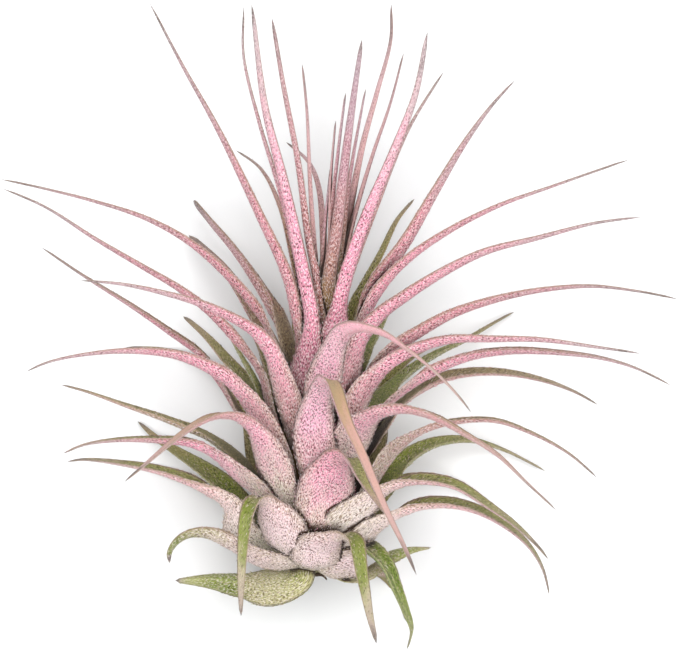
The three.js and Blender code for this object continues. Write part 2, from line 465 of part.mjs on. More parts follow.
function cutBy(solid, rooms) {
  const box = solid.boundingBox();
  const near = rooms.filter((room) => boxesMeet(box, room.boundingBox()));
  return near.reduce((left, room) => left.subtract(room), solid);
}

function floorSlab() {
  const geometry = new THREE.BoxGeometry(FLOOR_SIZE, FLOOR_SIZE, FLOOR_SIZE).translate(0, 0, -FLOOR_SIZE / 2);
  return solidOf(geometry);
}

function addMesh(group, name, tone, solid) {
  const material = new THREE.MeshStandardMaterial({ color: TONES[tone], roughness: ROUGHNESS, metalness: 0 });
  const mesh = new THREE.Mesh(geometryOf(solid), material);
  mesh.name = name;
  group.add(mesh);
}

// Each leaf gives way to the heart and to the leaves outside it, and lies flat where it meets the floor
function buildPlant() {
  const plant = new THREE.Group();
  const floor = floorSlab();
  const rooms = [];
  const heartRoom = solidOf(roundBody(HEART, HEART_SIDES, CLEARANCE));
  const stubRoom = solidOf(roundBody(STUB, STUB_SIDES, CLEARANCE));
  for (const row of LEAVES) {
    const whole = solidOf(leafGeometry(row, 0));
    const solid = largestBody(cutBy(whole, [heartRoom, stubRoom, ...rooms, floor]));
    addMesh(plant, row.name, row.tone, solid);
    rooms.push(solidOf(leafGeometry(row, CLEARANCE)));
  }
  let heart = solidOf(roundBody(HEART, HEART_SIDES, 0));
  for (const row of YOUNG_LEAVES) {
    heart = heart.add(cutBy(solidOf(leafGeometry(row, 0)), rooms));
  }
  addMesh(plant, 'heart', 'heart', largestBody(cutBy(heart, [stubRoom])));
  addMesh(plant, 'root_stub', 'root', cutBy(solidOf(roundBody(STUB, STUB_SIDES, 0)), rooms));
  return plant;
}

// The origin is below the middle of the plant's box, on the surface
const plant = buildPlant();
const box = new THREE.Box3().setFromObject(plant);
const middle = box.getCenter(new THREE.Vector3());
plant.position.set(-middle.x, -middle.y, -box.min.z);

export default plant;
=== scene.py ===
# Sky plant: fine leaves with their scales and colours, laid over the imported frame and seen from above.
# The leaf lists repeat the plant's own shape in millimetres; everything is made in metres.
import math
import random

import bmesh
import bpy
from mathutils import Matrix, Vector
from mathutils.bvhtree import BVHTree


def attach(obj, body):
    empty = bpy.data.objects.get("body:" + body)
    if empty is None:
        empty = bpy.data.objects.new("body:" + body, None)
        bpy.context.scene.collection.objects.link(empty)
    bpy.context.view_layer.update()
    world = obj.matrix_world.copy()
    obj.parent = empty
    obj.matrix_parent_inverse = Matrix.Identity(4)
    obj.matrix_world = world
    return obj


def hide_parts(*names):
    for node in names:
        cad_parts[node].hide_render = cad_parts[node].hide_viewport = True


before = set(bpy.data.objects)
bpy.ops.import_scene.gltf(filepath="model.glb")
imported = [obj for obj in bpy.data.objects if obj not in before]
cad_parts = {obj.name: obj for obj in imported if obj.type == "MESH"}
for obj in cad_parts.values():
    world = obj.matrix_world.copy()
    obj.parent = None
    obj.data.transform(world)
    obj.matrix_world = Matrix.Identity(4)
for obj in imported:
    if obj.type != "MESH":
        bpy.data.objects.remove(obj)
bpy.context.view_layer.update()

MM = 0.001

# The place in the frame of the leaf lists' zero, which is on the surface below the stem's foot (mm)
FOOT_AT = Vector((-3.842, -35.896, 0))

# The stem's axis, from its foot, in the leaf lists' own frame (mm)
FOOT = Vector((0, 0, 19))
AXIS = Vector((0.056, 1, 0.21)).normalized()

# The heart's surface: distance along the axis, radius
HEART = [(-0.5, 0), (0, 3), (2.5, 6), (6, 7.4), (12, 7.8), (18, 6.8),
         (24, 5.2), (30, 3.8), (36, 2.6), (42, 1.6), (49, 0)]

# The dried root end's surface: distance along the axis, radius
STUB = [(-2.7, 0), (-2.5, 0.7), (-1.9, 1.1), (-1.3, 1), (-0.85, 1.5), (-0.85, 0)]

# Dried bits of root beside it: start, end and radius. They bend by so many radii, and so much of the radius
# is left at the end.
DRIED_BITS = [(Vector((-0.2, -1.5, 19.2)), Vector((0.7, -2.2, 20.8)), 0.4),
              (Vector((0.4, -1.4, 19.8)), Vector((1.9, -2.1, 21.4)), 0.34)]
BIT_BEND = 0.9
BIT_TAPER = 0.35

# A leaf's thickness and shape
SHEATH_THICK = 1
BLADE_THICK = 0.85
TIP_THICK = 0.3
TIP_WIDTH = 0.6
POINT_SHARE = 0.93
SHEATH_FOOT_SHARE = 0.75
SHEATH_WIDEST = 0.5
ROOT_DROP = 5.5
ROOT_DEPTH = 0.8
LOWEST_ROOT = 0.8
MOST_WRAP = 0.9
CHANNEL_ANGLE = 76
TIP_ANGLE = 60
THICKEST_RISE = 1.6

# How much is left of any depth that a leaf would reach under the surface it lies on
PRESSED = 0.02

# Where along the sheath's length the roll of a blade starts and ends
ROLL_STARTS = 0.5
ROLL_ENDS = 1.3

# How finely a leaf is made: samples between two listed points, stations along it and sides round it.
# Stations crowd where the leaf bends: a degree of bend counts as this many millimetres.
CURVE_STEPS = 24
STATIONS = 72
OUTER_SIDES = 12
INNER_SIDES = 10
BEND_SHARE = 0.35

# How finely the round bodies are made: sides round the heart, the root stub and a dried bit, and the cuts
# along a bit
HEART_SIDES = 32
STUB_SIDES = 24
BIT_SIDES = 9
BIT_CUTS = 4

# Strokes of the skin for each millimetre, across the leaf and along it, and how far they lean (degrees).
# Their layout is broader than the leaf by a factor, and the layouts of two leaves, and of a leaf's two faces,
# lie some way apart.
GRAIN = (5.6, 2.4, 1)
STROKE_LEAN = 16
LAYOUT_SPREAD = 1.25
LEAF_APART = 9
FACE_APART = 4

# Raised scales: width, thickness and length (mm), the share of the length that is sunk in the skin, the least
# and most of their size and of their lean outwards, and the most that they lean sideways
SCALE_SIZE = (0.15, 0.07, 0.5)
SCALE_SUNK = 0.15
SIZE_RANGE = (0.7, 1.25)
LEAN_RANGE = (0.15, 0.6)
SIDEWAYS = 0.4

# Where they stand: how many for a square millimetre of a sheath's outer face and of a blade's two faces,
# where on the sheath they start, the narrowest half leaf that has them (mm), and the shares that stand on the
# margins and on a blade's inner face. Those inside are larger, and towards the tip their number and size fade
# to a share. They are set out station by station.
SCALES_A_MM2 = 3.5
BOTH_FACES_MM2 = 8
SCALES_FROM = 0.15
LEAST_HALF = 0.1
FRINGE_SHARE = 0.12
INSIDE_SHARE = 0.6
INSIDE_SIZE = 1.15
FAR_SHARE = 0.4
FINE_STATIONS = 160

# How the scales' tones are spread, the name of the map that the export uses, and on it the width of a scale's
# strip and how far its foot stands off the map's edge
GOLDEN_SHARE = 0.618
EXPORT_MAP = "OFBake"
STRIP_WIDE = 0.008
STRIP_FOOT = 0.05

# Painted shade in crevices: how many ways each point looks, how far and from how far above the skin (mm),
# and the turn from one look to the next (radians)
CREVICE_LOOKS = 14
CREVICE_REACH = 5
CREVICE_LIFT = 0.06
GOLDEN_ANGLE = 2.4

# The camera looks straight down on the plant, its top towards the leaf tips. The photograph's scale holds at
# the height of the plant's middle. The photograph's width is in pixels, the rest in mm: sight is how far the
# camera sees.
PHOTO_WIDTH = 679
MM_A_PIXEL = 0.15
MIDDLE_HEIGHT = 30
CAMERA_HEIGHT = 2600
CAMERA_UP = 0.22
SENSOR = 36
SIGHT = 20000

# The floor's half side, the soft light's place, width, power (watts) and aim, and the sky (metres)
FLOOR_SIZE = 6
LIGHT_AT = (0.02, 0, 0.9)
LIGHT_SIZE = 0.85
LIGHT_POWER = 11.5
LIGHT_AIM = (0, 0, 0.02)
SKY_SHADE = (248, 250, 252)
SKY_STRENGTH = 0.35


def leaf(name, finish, shape, points):
    """A leaf, with its shape and the points of its middle line.

    In the shape, sheath is (width, length) and blade is a width. A full above 1 keeps the sheath broad for
    longer, roll turns the blade's inner face up, and tip is the width of the blade's end. The outer face
    looks straight out from the stem at the root, or else the way that faces says.
    """
    return {"name": name, "finish": finish, "full": 1, "roll": 0, "tip": TIP_WIDTH, "faces": None, **shape,
            "points": [Vector(p) for p in points]}


# The separate leaves, the outermost and lowest rooted first
LEAVES = [
    # Short leaves at the foot
    leaf("foot_1", "moss", dict(sheath=(6.2, 12), blade=3.8, full=1.4),
         [(-2.4, -1.6, 21.4), (-6.2, -3.1, 20.2), (-10.6, -2.9, 19), (-15.6, -2.3, 18.4),
          (-20.9, -2.3, 18.6)]),
    leaf("foot_2", "tinged", dict(sheath=(5.8, 14), blade=3.8, faces=(-0.2, -0.5, 0.8)),
         [(-3.4, 0.2, 24.6), (-6.6, 0.5, 25.4), (-9.6, 1.5, 25.6), (-12.3, 3.1, 25.4), (-14.3, 4.2, 25.4),
          (-16.6, 4.8, 25.6), (-18.8, 4.6, 25.6), (-20.5, 3.6, 25.2), (-21.6, 2, 24.4),
          (-21.7, 0.4, 23.8)]),
    leaf("foot_3", "beige", dict(sheath=(6.4, 14), blade=3.4, faces=(0.1, -0.35, 1)),
         [(1.2, -0.6, 25), (3, -0.2, 26.4), (5.2, 0.1, 27.2), (7.6, 0.6, 27)]),
    leaf("foot_4", "moss", dict(sheath=(5.6, 11), blade=3.6),
         [(5.2, -1.5, 22.5), (7.8, -1.1, 22.3), (11.7, 1.5, 22), (14.4, 2.4, 21.5), (17.6, 2.7, 20.4)]),
    leaf("under_1", "olive", dict(sheath=(7, 12), blade=3.2),
         [(-3, -1.4, 12.5), (-6, -3, 7.2), (-8.6, -3.1, 2.4), (-11.4, -2.9, 0.35), (-16, -2.6, 0.35),
          (-19, -2.6, 1.2)]),
    leaf("under_2", "olive", dict(sheath=(7, 12), blade=3.2),
         [(4.6, -0.4, 12.5), (8, -0.9, 6.6), (10.6, -1.8, 2.2), (12.2, -3.6, 0.35), (13.4, -6.4, 0.35),
          (14.2, -9, 1.2)]),
    leaf("under_3", "olive", dict(sheath=(6.4, 10), blade=2.6),
         [(1.2, -1, 12.4), (3.2, -1.2, 8.4), (5.4, -1.4, 5.2), (8, -1.6, 3.6)]),
    # The lowest ring of the bulb
    leaf("front_1", "beige", dict(sheath=(7.8, 14), blade=3.6, full=2.2, roll=26),
         [(0.2, 0.4, 28), (0.7, 2.6, 30.6), (2.7, 4.2, 33.4), (4.9, 4.7, 35.8), (6.1, 3.8, 37.3),
          (6.5, 2, 38.2), (6.9, -0.4, 38), (7.5, -3.4, 36.8), (8.3, -7.4, 34.4), (9.4, -11.6, 31.5)]),
    leaf("foot_5", "lime", dict(sheath=(6.6, 9), blade=3.9),
         [(6.9, 3, 26.8), (8.8, 2.2, 28.4), (10.7, 0.2, 29.2), (12.2, -3.2, 28.8), (13.6, -6.6, 27),
          (14.6, -9.6, 24.4), (14, -12.6, 21)]),
    leaf("front_2", "beige", dict(sheath=(8.6, 17.5), blade=3.4, full=2.2),
         [(-3.8, 2.9, 29), (-5.2, 6.4, 31.8), (-6.8, 9.4, 34.2), (-8.1, 10.2, 36.2), (-9.2, 9.4, 37.8),
          (-9.9, 7.4, 38.6), (-10.3, 4.6, 38.9), (-10.6, 0.8, 38.5), (-10.8, -3.6, 37),
          (-10.9, -7.4, 34.6)]),
    leaf("right_1", "silver", dict(sheath=(9, 17), blade=4.2, roll=40),
         [(7.2, 3.8, 27.4), (9, 5.4, 27.2), (12.6, 7.8, 26.8), (15.9, 9.1, 26.8), (20.4, 9.3, 27.2),
          (24.8, 8.2, 27.9), (29.2, 5.7, 27.8), (32.4, 2.8, 27), (34.4, -0.6, 25.8), (35.4, -4.5, 24)]),
    leaf("left_1", "silver", dict(sheath=(6.4, 17), blade=4.5, roll=70, faces=(-0.5, -0.4, 0.75)),
         [(-10.7, 4.2, 21), (-12.4, 8.6, 21.4), (-16.4, 11.6, 21.8), (-22.9, 14.1, 22.6), (-29.6, 15.4, 23),
          (-34.6, 15.9, 22.4), (-37.2, 15.6, 21.6)]),
    leaf("right_2", "silver", dict(sheath=(9.6, 18), blade=4, roll=53),
         [(4.8, 5.6, 30.2), (7.4, 8.2, 30.8), (10.2, 11, 31), (13.2, 12.6, 31.6), (17.2, 12.9, 32.6),
          (21.4, 12, 33.6), (26.2, 9, 34), (30, 6.3, 33.6), (33.4, 3.1, 32.9), (35.2, 1, 32)]),
    leaf("front_3", "blush", dict(sheath=(9, 20), blade=4.8, full=2),
         [(1.2, 6.2, 31.8), (1.7, 10.4, 33.9), (2.5, 14.2, 36.6), (3.7, 16.1, 39.2), (5, 16.4, 41.4),
          (6, 15.3, 43.4), (7, 13.3, 45), (8.6, 10.8, 46.2), (10.8, 7.8, 46.6)]),
    leaf("left_2", "green", dict(sheath=(8, 15), blade=4.4, roll=25),
         [(-10.2, 8, 16.6), (-12.4, 10.5, 14), (-16.2, 13.8, 9.8), (-20.4, 16.6, 5.6), (-24, 19, 2.4),
          (-26.8, 21.6, 0.8)]),
    leaf("right_3", "green", dict(sheath=(5.6, 13), blade=3.6, roll=24),
         [(10.8, 11.2, 16.4), (12.6, 14.4, 14.2), (15.2, 16.8, 11.2), (19, 18.4, 8.4), (23.6, 18.7, 5.8),
          (28.8, 17.2, 3), (35.1, 14, 0.9)]),
    leaf("left_3", "blush", dict(sheath=(9.4, 18), blade=3.8, roll=13),
         [(-8.4, 11.1, 26.4), (-11.4, 13.6, 26.4), (-14.6, 16.5, 26.6), (-18.2, 18.4, 27.2),
          (-23, 18.9, 28.4), (-29.6, 18.9, 29.8), (-34.4, 18.2, 30), (-37.6, 16.9, 29.4)]),
    leaf("under_4", "olive", dict(sheath=(8.4, 15), blade=2.6),
         [(-8, 5, 12.4), (-12.4, 8.4, 8.6), (-17, 11.8, 5.2), (-22.6, 13.9, 2.4), (-28, 15.2, 0.9)]),
    leaf("under_5", "olive", dict(sheath=(8.4, 15), blade=2.6),
         [(7.6, 7, 12.6), (11.2, 11.6, 9), (16, 13.3, 5.8), (21.6, 11.8, 3), (27.6, 8.2, 1)]),
    leaf("front_4", "crossed", dict(sheath=(7, 20), blade=3.4, full=1.4),
         [(-5.3, 11.4, 30.6), (-6.2, 15, 32.6), (-7.6, 18.5, 35), (-9.6, 21.2, 37.6), (-11.8, 22.5, 39.8),
          (-14.4, 22.6, 42), (-17.2, 21.5, 44.2), (-21, 18.8, 46.2), (-24.8, 15.6, 47.2),
          (-28.2, 12.8, 47.4)]),
    leaf("right_4", "crossed", dict(sheath=(7, 20), blade=3.8, full=1.4, roll=8),
         [(4, 15, 31.6), (5.4, 18.6, 34), (7, 21.2, 37), (9.8, 23, 40.4), (13.4, 23.6, 43.2),
          (17.6, 22.6, 45.6), (22.4, 20, 47.4), (27.4, 16.8, 48.4), (31.8, 12.6, 47.8), (36.2, 8.5, 46)]),
    leaf("right_5", "dusky", dict(sheath=(7.2, 18), blade=2.6, roll=20),
         [(9.3, 13.2, 26), (11, 16, 25.8), (13.4, 18.4, 25.6), (17.3, 20.7, 26.2), (21.5, 21.7, 27.4),
          (27.2, 21.8, 28.4), (32.5, 20, 28.4), (37.9, 17.1, 27.2), (42.6, 13.2, 25.4)]),
    leaf("left_4", "olive", dict(sheath=(7, 17), blade=2.9, roll=-5),
         [(-10.2, 14.4, 20.8), (-12.6, 16.8, 20.8), (-16.2, 19.4, 21.2), (-21.8, 21.8, 22.4),
          (-28.4, 24.1, 24.6), (-34, 26.1, 26.4), (-38, 27.2, 27.2)]),
    leaf("front_5", "arch", dict(sheath=(6.6, 24), blade=3),
         [(0.6, 14.2, 33.4), (0, 19.6, 35.8), (0.4, 24, 38.8), (1.2, 27, 42.4), (2, 27.9, 45),
          (2.9, 27, 47.8), (3.7, 24.8, 50.6), (4.8, 21.6, 53), (6.6, 17.9, 55), (8.6, 13.4, 56.6),
          (10.8, 8.4, 57), (13.2, 3.6, 56), (15.3, -1, 54)]),
    # The middle ring
    leaf("left_5", "pink", dict(sheath=(5.8, 22), blade=4.2, roll=16),
         [(-5.2, 16.5, 29.8), (-7.4, 21, 30.8), (-9, 23.6, 31.4), (-11, 26, 32.2), (-13.2, 28.2, 33.2),
          (-16.4, 30.1, 34.6), (-20.8, 31.7, 36.2), (-27.3, 32.3, 38.2), (-34, 31.8, 39.4),
          (-39.4, 30.7, 39.6), (-43, 29.2, 39)]),
    leaf("right_6", "dusky", dict(sheath=(6, 16), blade=3, roll=8),
         [(10.4, 20.6, 21), (12.4, 23.6, 20.4), (14.8, 25.6, 20.2), (18.8, 27.9, 20), (23.4, 28.9, 20.2),
          (28.8, 28.9, 20), (34.2, 27.9, 18.8), (39, 26.2, 16.6), (42.9, 24.1, 14.2)]),
    leaf("right_7", "pink", dict(sheath=(6, 18), blade=4.4),
         [(8.8, 20.6, 25.2), (11.2, 24.2, 25.4), (14.4, 26.9, 26), (18.4, 29.6, 27), (23.4, 31.5, 28.6),
          (29.4, 32.3, 30.6), (35.7, 32.1, 32), (42.6, 31.3, 32.4), (48, 29.8, 31.8), (53.6, 27.1, 30.8)]),
    leaf("right_8", "green", dict(sheath=(6.4, 16), blade=2.8),
         [(8.6, 22.4, 18.2), (11, 25.9, 15.2), (14.4, 29.1, 11.8), (18.6, 31.8, 8.4), (23, 33.9, 4.8),
          (27, 36.3, 2.2), (30.4, 38.2, 0.9)]),
    leaf("left_6", "rose", dict(sheath=(5.8, 18), blade=3.3, roll=-10),
         [(-9.2, 19.4, 22.6), (-11.8, 23.6, 22.6), (-14, 27.4, 23.2), (-17, 31.7, 24.8), (-21.6, 35.1, 27),
          (-27.6, 39.2, 30.4), (-34.6, 43.6, 34), (-40.8, 47.8, 37)]),
    leaf("left_7", "olive", dict(sheath=(5.4, 14), blade=2.8, roll=14, tip=1),
         [(-7.4, 23.6, 19.2), (-10.2, 27.3, 16.2), (-13, 30.5, 12.8), (-16.2, 34.2, 8.6),
          (-19.8, 37.5, 4.6)]),
    leaf("under_6", "olive", dict(sheath=(9.4, 20), blade=2.6),
         [(-5, 12, 13), (-9, 20, 10.2), (-13, 27, 6.8), (-18, 31, 3.2), (-23, 32.4, 0.7),
          (-28.6, 32.8, 0.05)]),
    leaf("under_7", "olive", dict(sheath=(9.4, 20), blade=2.6),
         [(6, 15, 13.2), (9.2, 24, 10.2), (13, 30, 6.8), (18, 33.2, 3.2), (23, 34.2, 0.7),
          (28.4, 34, 0.05)]),
    leaf("under_8", "olive", dict(sheath=(9.6, 30), blade=2.8),
         [(-0.8, 7, 9.8), (-1.4, 16, 8.8), (-2, 26, 6), (-2.4, 33, 2.4), (-2.6, 37.6, 0.3),
          (-2.4, 42.6, 0.3), (-2, 46, 1)]),
    leaf("under_9", "olive", dict(sheath=(9, 30), blade=2.6),
         [(3, 11, 11.2), (4.6, 20, 10), (6, 29, 6.6), (6.8, 36, 3), (7.2, 41, 1.2)]),
    leaf("left_8", "green", dict(sheath=(4.4, 12), blade=1.9),
         [(-7.4, 24.4, 22), (-9.2, 28.2, 19.6), (-11, 31.4, 16.4), (-13.2, 35.2, 12)]),
    leaf("left_9", "pink", dict(sheath=(4.8, 20), blade=3.6, roll=14),
         [(-3, 21.4, 31.6), (-3.8, 24.6, 33), (-4.8, 27.6, 34.6), (-6.6, 32.2, 37.2), (-8.8, 35, 39.2),
          (-11.6, 36.8, 41), (-16.4, 39.1, 43.2), (-22, 40.8, 45.2), (-28.4, 42.2, 46.6),
          (-34.8, 42.8, 47)]),
    leaf("right_9", "pink", dict(sheath=(4.8, 18), blade=3.3, roll=20),
         [(5.6, 22, 30.8), (7.2, 26, 31.6), (9.6, 28.8, 32.2), (12.4, 31, 33), (15.6, 32.6, 34.2),
          (20.4, 33.9, 36), (27, 34, 37.6), (34, 33.9, 38.2), (41.8, 32.9, 38), (48.9, 31.9, 37)]),
    leaf("front_6", "arch", dict(sheath=(5.4, 20), blade=3.3),
         [(0.6, 24.4, 33.2), (1.6, 28.4, 35.2), (2.8, 32.2, 38.4), (4.2, 34.8, 42), (6, 35.7, 45.2),
          (8.4, 35.5, 48.4), (11, 34.6, 51), (14, 32.5, 53.4), (17.4, 29.8, 55.4), (20.6, 26.6, 56.6),
          (23.4, 23.2, 57)]),
    leaf("left_10", "rose", dict(sheath=(4.8, 18), blade=3.4, roll=-2),
         [(-6.6, 23.6, 26.6), (-8.1, 29, 27.6), (-11.4, 33.6, 28.8), (-15.4, 37.9, 30.2), (-20, 41.5, 31.8),
          (-26.2, 45.2, 33.8), (-32.8, 49.1, 35.8), (-40, 53.7, 37.2), (-46.6, 56.6, 37.8)]),
    leaf("right_10", "rose", dict(sheath=(5, 17), blade=4.5, roll=-3),
         [(7.3, 25.6, 26.6), (8.6, 29, 27.4), (11.2, 32.2, 28.8), (15.4, 34.9, 30.6), (20.8, 37.9, 32.8),
          (27.4, 40.1, 35), (34.4, 41.5, 36.8), (41.6, 42, 38), (48.6, 41.2, 38), (54.6, 40, 37.2)]),
    leaf("right_11", "pink", dict(sheath=(5, 17), blade=3.8, roll=22),
         [(5, 25.4, 30), (5.6, 30.2, 31.4), (6.9, 33.6, 32.4), (9.8, 37.4, 33.8), (13.8, 40.4, 35.6),
          (19.6, 44.1, 38), (25.8, 47.1, 40), (33.4, 49.1, 41.4), (41.8, 51.3, 42.2), (49, 52.3, 41.8)]),
    leaf("right_12", "green", dict(sheath=(4.2, 12), blade=2),
         [(7, 29.6, 22.6), (8.6, 33, 20.2), (10.2, 36, 17), (12.2, 40.4, 12)]),
    leaf("left_11", "olive", dict(sheath=(4.2, 12), blade=1.9, roll=10),
         [(-5.6, 25, 21.8), (-7, 29, 19), (-8, 32, 16.6), (-9.4, 35, 14)]),
    # The inner leaves
    leaf("left_12", "rose", dict(sheath=(4.6, 16), blade=3.7, roll=-12),
         [(-4.2, 29.6, 25.6), (-6.6, 35, 26.6), (-9, 39.2, 27.6), (-13.7, 44.4, 29), (-18.8, 48.7, 30.6),
          (-25.2, 52.2, 32.4), (-32.8, 54.7, 34.4), (-40, 56.5, 35.6), (-47, 58, 36)]),
    leaf("left_13", "umber", dict(sheath=(4.4, 14), blade=2.8, roll=8, tip=1.4),
         [(-5.6, 31.4, 21.4), (-8, 35.4, 18.6), (-10.6, 40, 15), (-14, 45, 10.4), (-19, 49.8, 5.4)]),
    leaf("left_14", "umber", dict(sheath=(4.2, 14), blade=4.6, roll=-30, tip=2.4),
         [(-3.4, 31, 21.6), (-5.6, 37.4, 19.8), (-8.8, 43, 17.2), (-12, 47.5, 13.6), (-15.4, 51.5, 10),
          (-18.3, 55, 6.6)]),
    leaf("right_13", "pink", dict(sheath=(4.4, 16), blade=3.6, roll=14),
         [(5.4, 31.4, 28), (7.6, 36.8, 29.2), (9.8, 41.4, 30.4), (14, 46, 32.4), (20.4, 50.4, 35),
          (28, 54.2, 37.6), (35.9, 57, 39.4), (47.2, 60.9, 40.4)]),
    leaf("right_14", "rose", dict(sheath=(4.4, 15), blade=4.6, roll=-25),
         [(4.8, 31.6, 25.6), (6.8, 36.8, 26.4), (9.6, 42.6, 27.6), (13.8, 48.4, 29.2), (18, 55.6, 31),
          (22.4, 63, 33), (26.6, 68.9, 34.6), (30.2, 72.9, 35.6)]),
    leaf("right_15", "olive", dict(sheath=(3.6, 12), blade=1.8),
         [(4.2, 33.4, 22.6), (6, 39, 20.8), (8, 42.8, 18.4), (10.2, 47, 14.4), (12.6, 52, 9.6),
          (15.2, 55.3, 6)]),
    leaf("left_15", "rose", dict(sheath=(3.8, 15), blade=3.7, roll=-20),
         [(-2.4, 29, 25.2), (-2.6, 36, 26.8), (-3.9, 42.8, 28.8), (-8.7, 53.6, 32.2), (-14.6, 65.8, 36),
          (-19.6, 74.8, 39), (-24.6, 84.4, 41.6)]),
    leaf("left_16", "deep", dict(sheath=(6, 18), blade=2.6),
         [(-1.6, 25.4, 30.2), (-0.8, 32, 31.2), (-0.5, 37, 31.8), (-2, 45.2, 33.2), (-4.8, 58.2, 36),
          (-7.4, 68.8, 38.6), (-9.3, 84.2, 41.6)]),
    leaf("right_16", "deep", dict(sheath=(5, 16), blade=2.4),
         [(2.8, 30.6, 30.4), (3.5, 36.8, 32.4), (4.7, 42.8, 34), (8, 52.5, 36.4), (11.8, 61.6, 38.6),
          (15.2, 70.6, 40.4), (17, 80, 41.6)]),
    leaf("left_17", "pink", dict(sheath=(3, 12), blade=1.8),
         [(-1.2, 33, 27.2), (-2.6, 45, 29.6), (-5, 55.6, 32), (-8.4, 67, 34), (-10.6, 76.6, 35.4),
          (-10.5, 84, 36.4)]),
    leaf("left_18", "pink", dict(sheath=(3, 11), blade=1.6),
         [(-1.4, 36.8, 23.6), (-3.2, 46, 20.8), (-5.2, 54, 17), (-8, 59.6, 13), (-11.8, 62.6, 9)]),
    leaf("left_19", "umber", dict(sheath=(3.6, 12), blade=1.4),
         [(0.7, 33.6, 29), (0.6, 41, 29.8), (-0.9, 49.2, 31), (-2.5, 61, 33.2), (-4.6, 72, 35.4),
          (-6.3, 82.2, 37)]),
    leaf("right_17", "dusky", dict(sheath=(3.6, 12), blade=1.8),
         [(3.6, 36, 27.4), (5.4, 43, 28.6), (9.2, 53.2, 30.4), (14.2, 65.4, 32), (19.5, 74.2, 32.6)]),
]

# The nine youngest leaves, which stand out of the tip of the heart as one bunch
YOUNG_LEAVES = [
    leaf("young_1", "heart", dict(sheath=(2.2, 10), blade=1.3),
         [(1.6, 36, 26.6), (1.1, 43.5, 28.5), (1.5, 50, 29.8), (2.4, 59.6, 31.6)]),
    leaf("young_2", "heart", dict(sheath=(2.2, 10), blade=1.2),
         [(2.4, 40, 27.4), (2.6, 48.8, 30.4), (2.6, 57.4, 32), (3.3, 66.8, 34)]),
    leaf("young_3", "heart", dict(sheath=(2.2, 10), blade=1.2),
         [(2.6, 40, 27.6), (2.8, 53, 31.2), (3.7, 62, 33), (4.8, 71, 34.8)]),
    leaf("young_4", "heart", dict(sheath=(3.2, 10), blade=2.1),
         [(1.8, 35, 27.4), (2.2, 42.8, 30.6), (3.4, 50.8, 33), (5, 63.6, 36), (6.3, 72.8, 38),
          (7.2, 78.9, 39)]),
    leaf("young_5", "heart", dict(sheath=(2.4, 10), blade=1.4),
         [(3, 40, 27.6), (4.2, 47, 29.6), (5.6, 59, 32), (7.8, 71.6, 34.6)]),
    leaf("young_6", "heart", dict(sheath=(2.8, 10), blade=1.7),
         [(2.8, 38, 26.4), (4.8, 49.2, 28.4), (7.4, 63, 31), (9.5, 70.8, 32.8), (11.6, 79, 34.2),
          (11.6, 84.3, 35)]),
    leaf("young_7", "heart", dict(sheath=(2.4, 10), blade=1.4),
         [(3, 38, 26.8), (5.6, 50.1, 29.4), (8.7, 61, 32), (11.6, 69.6, 34.2), (13.5, 77, 36)]),
    leaf("young_8", "heart", dict(sheath=(2.2, 9), blade=1.3),
         [(1, 37, 26.2), (0, 47, 27.6), (-0.7, 58, 29.4), (-1.1, 68, 31.2), (-1.8, 75.4, 32.2)]),
    leaf("young_9", "heart", dict(sheath=(2.2, 9), blade=1.3),
         [(1.4, 38, 25.4), (1.3, 50, 22.8), (0.6, 57, 19.8), (-0.8, 60.6, 17), (-4.2, 63.8, 12.6)]),
]


def mix(low, high, share):
    return low + (high - low) * min(1, max(0, share))


def smooth(share):
    return (1 - math.cos(math.pi * share)) / 2


def beside_axis(point):
    """How far along the stem's axis a point lies, and the point of the axis beside it."""
    along = (point - FOOT).dot(AXIS)
    return along, FOOT + AXIS * along


def heart_radius(along):
    for (a0, r0), (a1, r1) in zip(HEART, HEART[1:]):
        if along <= a1:
            return mix(r0, r1, (along - a0) / (a1 - a0))
    return 0


def root_of(point):
    """A leaf's root: lower on the stem than its first point, just inside the heart."""
    along, on_axis = beside_axis(point)
    low = max(along - ROOT_DROP, LOWEST_ROOT)
    return FOOT + AXIS * low + (point - on_axis).normalized() * (heart_radius(low) - ROOT_DEPTH)


def spline_point(p0, p1, p2, p3, share):
    """A point between p1 and p2 on a centripetal Catmull-Rom curve."""
    t0, t1 = 0, (p1 - p0).length ** 0.5
    t2 = t1 + (p2 - p1).length ** 0.5
    t3 = t2 + (p3 - p2).length ** 0.5
    t = mix(t1, t2, share)
    a1 = p0.lerp(p1, (t - t0) / (t1 - t0))
    a2 = p1.lerp(p2, (t - t1) / (t2 - t1))
    a3 = p2.lerp(p3, (t - t2) / (t3 - t2))
    b1 = a1.lerp(a2, (t - t0) / (t2 - t0))
    b2 = a2.lerp(a3, (t - t1) / (t3 - t1))
    return b1.lerp(b2, (t - t1) / (t2 - t1))


def middle_line(points):
    """The leaf's middle line as many short steps."""
    ends = [points[0] * 2 - points[1], *points, points[-1] * 2 - points[-2]]
    line = []
    for four in zip(ends, ends[1:], ends[2:], ends[3:]):
        line += [spline_point(*four, step / CURVE_STEPS) for step in range(CURVE_STEPS)]
    return [*line, points[-1]]


def rolled(row, along, facing, distance):
    """The way the outer face looks on a blade that turns about its middle line, its inner face upwards."""
    share = min(1, max(0, (distance / row["sheath"][1] - ROLL_STARTS) / (ROLL_ENDS - ROLL_STARTS)))
    side = -math.copysign(1, along.cross(facing).z)
    turn = math.radians(row["roll"]) * share * share * (3 - 2 * share) * side
    return Matrix.Rotation(turn, 3, along) @ facing


